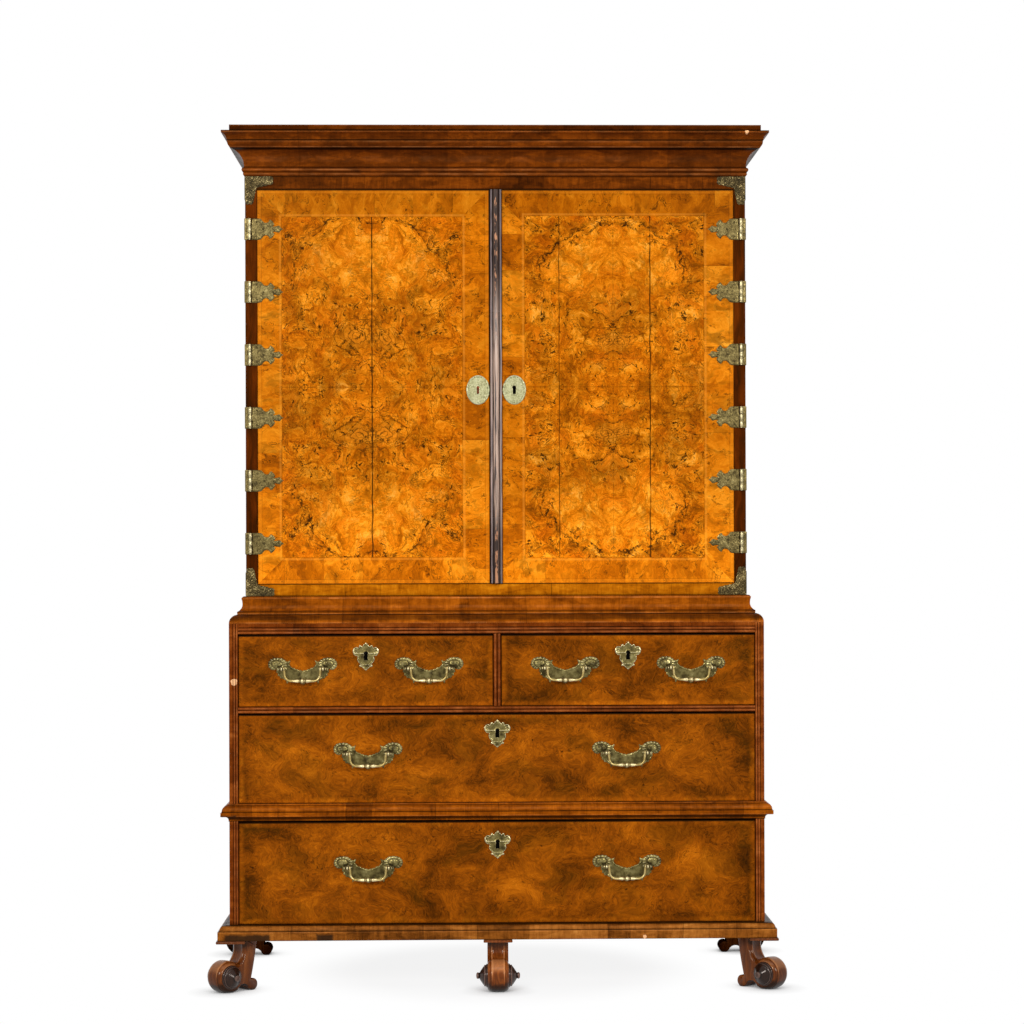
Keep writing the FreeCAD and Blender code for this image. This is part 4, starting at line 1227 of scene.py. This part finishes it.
lockBack = -217
plateClay = relief([mirrorLoop(handle["plate"])], plateFace, handle["spacing"])
shieldClay = relief([mirrorLoop(shield["half"]), keyLoop(*shield["key"])], shieldFace, 1.5)
lockClay = relief([[(-32, -22), (32, -22), (32, 24), (-32, 24)]], lockFace, 5)
for name, (centre, postZ, spread, shieldZ) in drawers.items():
    brasses = Clay()
    for way in (-1, 1):
        x = centre + way * spread
        brasses.place(plateClay, onFront(x, chestFront, postZ - handle["rise"]))
        for hand in (-1, 1):
            pivot = (x + hand * handle["post"][0], chestFront - handle["pivotOut"], postZ)
            brasses.turned(handle["postRows"], pivot, (hand, 0, 0), 14)
            brasses.turned(handle["stemRows"], (pivot[0], chestFront, postZ), (0, -1, 0), 12)
        hung = Clay()
        hung.place(bailClay(), lambda p: p + Vector((x, chestFront - handle["pivotOut"], postZ)))
        bail = name + ("_left_bail" if way < 0 else "_right_bail")
        makePiece(bail + "_cast", hung, bailBrass, bail, [bail])
    brasses.place(shieldClay, onFront(centre, chestFront, shieldZ))
    lock = Clay()
    lock.place(lockClay, lambda p: Vector((centre - p.x, lockBack + p.z, shieldZ + p.y)))
    makePiece(name + "_lock", lock, iron, name, [name + "_brasses"])
    makePiece(name + "_mounts", brasses, plateBrass, name, [name + "_brasses"])
print("drawer brasses cast")

# door ovals, engraved and nailed
oval = {
    "half": (23.6, 29.5), "key": (0.0, 5.0), "place": (36.5, 1201),
    "nails": [(-6.5, 25.2), (6.5, 25.2), (0, -25.6), (-19.5, 4), (19.5, 4)],
}


def ovalFace(u, v, gap):
    groove = furrow(gap, 3.2, 0.5) + furrow(gap, 4.6, 0.45)
    # dark in the engraved grooves, pale near the rim, and dark at the very edge: a dark rim with painted contact
    # shade
    wearAndLight = 0.62 - 0.4 * groove + 0.2 * ease((2.4 - gap) / 1.0) - 0.5 * ease((0.9 - gap) / 0.8)
    return 0.4 + 0.95 * rounded(gap, 1.2) - 0.25 * groove, wearAndLight


turns = np.linspace(0, 2 * math.pi, 73)[:-1]
rim = [(oval["half"][0] * math.cos(a), oval["half"][1] * math.sin(a)) for a in turns]
# the left one is a dummy: bare wood shows in its narrow slot
for name, way, slit, finish in (
    ("left_door", -1, (-1.5, 1.3), dummyBrass),
    ("right_door", 1, (-0.4, 2.0), ovalBrass),
):
    ovalClay = relief([rim, keyLoop(*oval["key"], *slit)], ovalFace, 1.6)
    nailDown(ovalClay, oval["nails"], 0.6, 10)
    clay = Clay()
    clay.place(ovalClay, onFront(way * oval["place"][0], doorFront, oval["place"][1]))
    makePiece(name + "_oval", clay, finish, name, [name + "_escutcheon"])

# hinges: shaped door leaf, bent fixed leaf, round knuckles with a bead at each end, and a pin
hinge = {
    "half": [
        (67.0, 0), (62.8, 2.0), (60.6, 5.0), (58.4, 7.0), (53.4, 5.8), (50.0, 5.2), (46.8, 5.8), (47.8, 7.4),
        (50.0, 8.8), (47.2, 14.2), (44.0, 17.4), (40.8, 19.2), (38.0, 14.8), (35.0, 12.7), (31.0, 12.6),
        (28.0, 14.0), (25.4, 17.0), (22.4, 20.4), (18.6, 21.5), (3.85, 21.5), (3.85, 7.0), (0, 7.0),
    ],
    "axis": (494.0, -210.8),
    "levels": [893 + 126.3 * k for k in range(6)],
    "nails": [(27.5, 0), (46.5, 0), (14, 14.5), (14, -14.5)],
    "strip": [
        (10.6, -21.5), (10.6, 21.5), (0, 21.5), (0, 7.4), (3.85, 7.4), (3.85, -7.4), (0, -7.4), (0, -21.5),
    ],
    "flank": [(0, -21.5), (30, -21.5), (36, 0), (30, 21.5), (0, 21.5)],
    "flankNails": [(10, 14), (10, -14), (26, 0)],
    "pin": [(1.6, -21.5, 0.5), (1.7, -21, 0.5), (1.7, 21, 0.5), (1.6, 21.5, 0.5)],
    # heights of the ends of the knuckles: on the door, and above and below that
    "doorKnuckle": (-7.0, 7.0), "fixedKnuckles": [(7.4, 21.5), (-21.5, -7.4)],
}


def leafFace(u, v, gap):
    # burin-cut border line and scrolls
    groove = furrow(gap, 1.9, 0.4)
    cut = 0.0
    for spotU, spotV, size in ((17, 9.5, 6.0), (40, 8.5, 4.6), (29, 4.2, 3.2), (56, 0, 3.0)):
        away = math.hypot(u - spotU, abs(v) - spotV)
        turn = math.atan2(abs(v) - spotV, u - spotU)
        spiral = abs((away / 1.9 - turn / (2 * math.pi)) % 1 - 0.5) * 2
        cut = max(cut, ease((size + 1 - away) / 1.5) * ease((spiral - 0.55) / 0.3))
    return 0.5 + 1.0 * rounded(gap, 1.1) - 0.22 * max(groove, cut), 0.6 - 0.5 * max(groove, 0.85 * cut)


def stripFace(u, v, gap):
    rib = math.cos(2 * math.pi * u / 3.5)
    return 1.0 + 0.3 * rib + 0.25 * rounded(gap, 0.8), 0.45 + 0.3 * rib


def flankFace(u, v, gap):
    groove = furrow(gap, 2.2, 0.5)
    return 0.7 + 0.85 * rounded(gap, 1.0) - 0.25 * groove, 0.5 - 0.4 * groove


def barrel(clay, foot, low, high):
    # a knuckle bored for the pin, with a bead at each end
    rows = [(1.8, low, 0.2), (3.1, low, 0.4), (3.5, low + 0.5, 0.9), (3.5, low + 1.5, 0.9), (3.2, low + 1.9, 0.3)]
    rows += [(3.4, low + 2.5, 0.9), (3.45, (low + high) / 2, 1.0)]
    rows += [(radius, low + high - reach, rubAndLight) for radius, reach, rubAndLight in reversed(rows[:-1])]
    clay.bored(rows, foot, (0, 0, 1), 18)


halfLeaf = hinge["half"]
leafClay = relief([halfLeaf + [(u, -v) for u, v in reversed(halfLeaf) if v > 0]], leafFace, 1.6)
nailDown(leafClay, hinge["nails"])
stripClay = relief([hinge["strip"]], stripFace, 1.2)
flankClay = relief([hinge["flank"]], flankFace, 2.4)
nailDown(flankClay, hinge["flankNails"])
axisX, axisY = hinge["axis"]
fixedLeaves, pins = Clay(), Clay()
for way, body in ((-1, "left_door"), (1, "right_door")):
    leaves = Clay()
    for z in hinge["levels"]:
        foot = (way * axisX, axisY, z)
        leaves.place(leafClay, onFront(way * axisX, doorFront, z, -way))
        barrel(leaves, foot, *hinge["doorKnuckle"])
        fixedLeaves.place(stripClay, onFront(way * axisX, cabinetFront, z, way))
        fixedLeaves.place(flankClay, onFlank(way, z))
        for knuckle in hinge["fixedKnuckles"]:
            barrel(fixedLeaves, foot, *knuckle)
        pins.turned(hinge["pin"], foot, (0, 0, 1), 14)
    makePiece(body + "_hinges", leaves, leafBrass, body, [body + "_hinge_leaves"])
makePiece("corner_hinge_leaves", fixedLeaves, leafBrass, "carcase", ["cabinet_hinge_leaves"])
makePiece("hinge_pin_set", pins, leafBrass, "carcase", ["hinge_pins"])

# corner mounts: leafy plates wrapped round the corners of the cabinet
mount = {
    "half": [
        (22.6, 22.6), (26, 22.4), (30, 20.6), (34, 20.8), (38, 18.8), (42, 19.0), (46, 16.8), (50, 17.0),
        (54.2, 15.6), (56.8, 12.4), (55.6, 8.4), (57.0, 4.4), (54.6, 0.8), (50, 0),
    ],
    "lip": [(-1.6, 0), (9, 0), (9, 46), (5, 48), (-1.6, 48)],
    "heights": [(1630.5, -1), (787.5, 1)],
}


def mountFace(u, v, gap):
    # scrolling leaves in low relief on a dark ground
    leaf = math.cos(1.25 * u + 1.6 * math.sin(0.55 * v)) * math.cos(1.25 * v + 1.6 * math.sin(0.55 * u))
    raised = max(ease(0.5 + 1.2 * leaf), ease(1.5 - gap))
    return 0.45 + 0.5 * rounded(gap, 1.0) + 0.6 * raised, 0.12 + 0.6 * raised


halfMount = mount["half"]
mountClay = relief([halfMount + [(0, 0)] + [(v, u) for u, v in reversed(halfMount[1:])]], mountFace, 1.4)
lipClay = relief([mount["lip"]], flankFace, 2.4)
mounts = Clay()
for z, up in mount["heights"]:
    for way in (-1, 1):
        mounts.place(mountClay, onFront(way * cabinetHalf, cabinetFront, z, -way, up))
        mounts.place(lipClay, onFlank(way, z, up))
makePiece("corner_brasses", mounts, mountBrass, "carcase", ["corner_mounts"])
print("hinges and mounts cut")

# scroll feet: beaded neck, bevelled roll, curled tail, turned bosses, moulded caps
foot = {
    "spots": [(-500, -201, -135), (0, -195, -90), (500, -201, -45), (-492, 246, 180), (492, 246, 0)],
    "roll": (64.0, 31.2, 32.0), "tail": (7.0, 11.2, 12.0), "half": 21.0,
    # across the face: distance from the middle, depth on the neck, depth on the roll, wear
    "face": [
        (0, 1.6, 0.05, 0.5), (4, 1.5, 0.08, 0.5), (8, 1.1, 0.2, 0.5), (10.6, 0.8, 0.4, 0.6),
        (11.4, 0.4, 0.5, 0.85), (12.4, 0.0, 0.6, 1.0), (13.2, 0.1, 0.9, 0.8), (13.9, 0.8, 1.5, 0.15),
        (14.8, 1.6, 1.7, 0.2), (16.6, 2.4, 2.7, 0.3), (18.4, 3.2, 4.2, 0.36), (19.8, 4.0, 5.8, 0.44),
        (20.6, 4.8, 7.0, 0.55), (21.0, 5.6, 8.2, 0.3),
    ],
    "back": [(0, 0), (19.4, 0), (20.4, 0.5), (21.0, 1.5)],
    "boss": [
        (23.5, -1.5, 0.2), (23.5, 1.4, 0.5), (23.0, 2.4, 0.9), (22.0, 3.0, 0.8), (21.4, 3.0, 0.1),
        (21.0, 3.7, 0.2), (21.4, 4.9, 0.9), (21.2, 6.0, 1.0), (20.4, 6.9, 0.8), (19.2, 7.1, 0.05),
        (18.6, 7.7, 0.3), (17.6, 8.8, 0.8), (15.6, 10.2, 0.5), (13.4, 11.7, 0.45), (11.2, 13.2, 0.45),
        (9.2, 14.5, 0.4), (7.4, 15.6, 0.2), (5.9, 16.3, 0.05), (5.6, 16.8, 0.05), (6.0, 17.5, 0.5),
        (6.4, 18.6, 0.9), (6.4, 19.8, 1.0), (5.9, 21.2, 1.0), (4.6, 22.2, 1.0), (2.4, 22.7, 0.9),
        (0.2, 22.8, 0.9),
    ],
    "cap": [
        (26.4, 97, 0.2), (27.8, 97.3, 0.5), (28.7, 98.3, 0.9), (29, 99.6, 0.8), (28.9, 101, 0.6),
        (28.2, 102, 0.3), (28.2, 103, 0.3),
    ],
    "capSpots": [(-531.5, -235.5), (0, -235.5), (531.5, -235.5), (-531.5, 246), (531.5, 246)],
    "top": 103,
}


def throughArc(start, middle, end, count):
    # points of the arc from start through middle, without its end
    ax, ay, bx, by, cx, cy = *start, *middle, *end
    d = 2 * (ax * (by - cy) + bx * (cy - ay) + cx * (ay - by))
    squares = ax * ax + ay * ay, bx * bx + by * by, cx * cx + cy * cy
    x = (squares[0] * (by - cy) + squares[1] * (cy - ay) + squares[2] * (ay - by)) / d
    y = (squares[0] * (cx - bx) + squares[1] * (ax - cx) + squares[2] * (bx - ax)) / d
    first, half, last = (math.atan2(p[1] - y, p[0] - x) for p in (start, middle, end))
    sweep = (last - first) % (2 * math.pi)
    if (half - first) % (2 * math.pi) > sweep:
        sweep -= 2 * math.pi
    radius = math.hypot(ax - x, ay - y)
    turns = [first + sweep * k / count for k in range(count)]
    return [(x + radius * math.cos(a), y + radius * math.sin(a)) for a in turns]


def rollPoint(name, degrees):
    x, y, radius = foot[name]
    return x + radius * math.cos(math.radians(degrees)), y + radius * math.sin(math.radians(degrees))


def footOutline():
    # side view, clockwise from the top of the back; each point has the share of face carving it takes
    # and its painted light and shade: -1 is painted black shade, 1 is painted bright as a highlight
    top = foot["top"]
    rows = [((-4 + 10.0 * k, top), 0.0 if k < 3 else 1.0, -0.8) for k in range(4)]
    rows += [(p, 1.0, -0.6) for p in throughArc((33.5, top), (29.7, 97), (28.5, 88), 7)]
    for p in throughArc((28.5, 88), (30.2, 73), rollPoint("roll", 130), 16):
        rows.append((p, 1.0, 0.3 - 0.9 * ease((p[1] - 82) / 8) - 0.6 * ease((62 - p[1]) / 5)))
    for k in range(44):
        angle = 130 - 255 * k / 44
        # painted highlight on the top of the roll, painted shade under it and where it meets the neck
        rollLightAndShade = 0.9 * ease((angle + 4) / 40) - 0.6 * ease((angle - 112) / 16) - ease((-6 - angle) / 34)
        rows.append((rollPoint("roll", angle), ease((angle + 125) / 60), rollLightAndShade))
    rows += [(p, 0.0, -0.8) for p in throughArc(rollPoint("roll", -125), (31, 14), rollPoint("tail", -20), 10)]
    rows += [(rollPoint("tail", -20 - 275 * k / 26), 0.0, -0.2) for k in range(26)]
    rows += [(p, 0.0, 0.2) for p in throughArc(rollPoint("tail", 65), (3.5, 58), (-4, top), 16)]
    return rows


def depthAt(rows, off):
    for start, end in zip(rows, rows[1:]):
        if off <= end[0]:
            return start[1] + (end[1] - start[1]) * (off - start[0]) / (end[0] - start[0])
    return rows[-1][1]


def footClay():
    outline = footOutline()
    spots = [row[0] for row in outline]
    inward = []
    for before, after in zip(spots[-1:] + spots[:-1], spots[1:] + spots[:1]):
        run = Vector((after[0] - before[0], after[1] - before[1])).normalized()
        inward.append((run.y, -run.x))
    across = [(-row[0], *row[1:]) for row in reversed(foot["face"][1:])] + foot["face"]
    points, wearAndLight = [], []
    for off, neck, roll, rubAndLight in across:
        plain = depthAt(foot["back"], abs(off))
        edge = 0.4 + 0.3 * ease((abs(off) - 19.4) / 1.2)
        for (u, v), (nu, nv), (spot, carved, paintedLightAndShade) in zip(spots, inward, outline):
            rolled = ease((u - 34) / 10)
            cut = (neck + (roll - neck) * rolled) * carved + plain * (1 - carved)
            high = foot["top"] if v > foot["top"] - 0.1 else max(0, v + nv * cut)
            points.append((u + nu * cut, off, high))
            wornAndLit = rubAndLight * carved + edge * (1 - carved)
            # painted highlights brighten the wear, painted shade darkens it
            wornAndLit = wornAndLit + 0.6 * paintedLightAndShade if paintedLightAndShade > 0 else wornAndLit * (1 + paintedLightAndShade)
            if abs(off) == foot["half"]:
                # plain flanks, painted dark with shade around the boss, under the cap and near the floor
                wornAndLit = (0.9 - 0.4 * rolled) * (1 - 0.7 * ease((v - 86) / 12)) * (0.3 + 0.7 * ease((v - 3) / 14))
            wearAndLight.append(wornAndLit)
    count = len(spots)
    clay = Clay()
    clay.skin([(points[k * count:(k + 1) * count], 0) for k in range(len(across))])
    clay.wearAndLight = wearAndLight
    return clay


def footAt(x, y, heading):
    turn = Matrix.Rotation(math.radians(heading), 3, "Z")
    return lambda p: turn @ Vector(p) + Vector((x, y, 0))


feet, bosses, caps = Clay(), Clay(), Clay()
footShape = footClay()
for x, y, heading in foot["spots"]:
    put = footAt(x, y, heading)
    feet.place(footShape, put)
    for way in (-1, 1):
        start = put((foot["roll"][0], way * foot["half"], foot["roll"][1]))
        bosses.turned(foot["boss"], start, put((0, way, 0)) - put((0, 0, 0)), 32)
for x, y in foot["capSpots"]:
    caps.skin([
        ([Vector((x + sx * half, y + sy * half, z)) for sx, sy in ((-1, -1), (1, -1), (1, 1), (-1, 1))], rubAndLight)
        for half, z, rubAndLight in foot["cap"]
    ])
makePiece("carved_feet", feet, footWood, "carcase", ["scroll_feet"], 42)
makePiece("turned_bosses", bosses, bossWood, "carcase", ["foot_bosses"], 40)
makePiece("moulded_caps", caps, footWood, "carcase", ["foot_caps"])
print("feet carved")
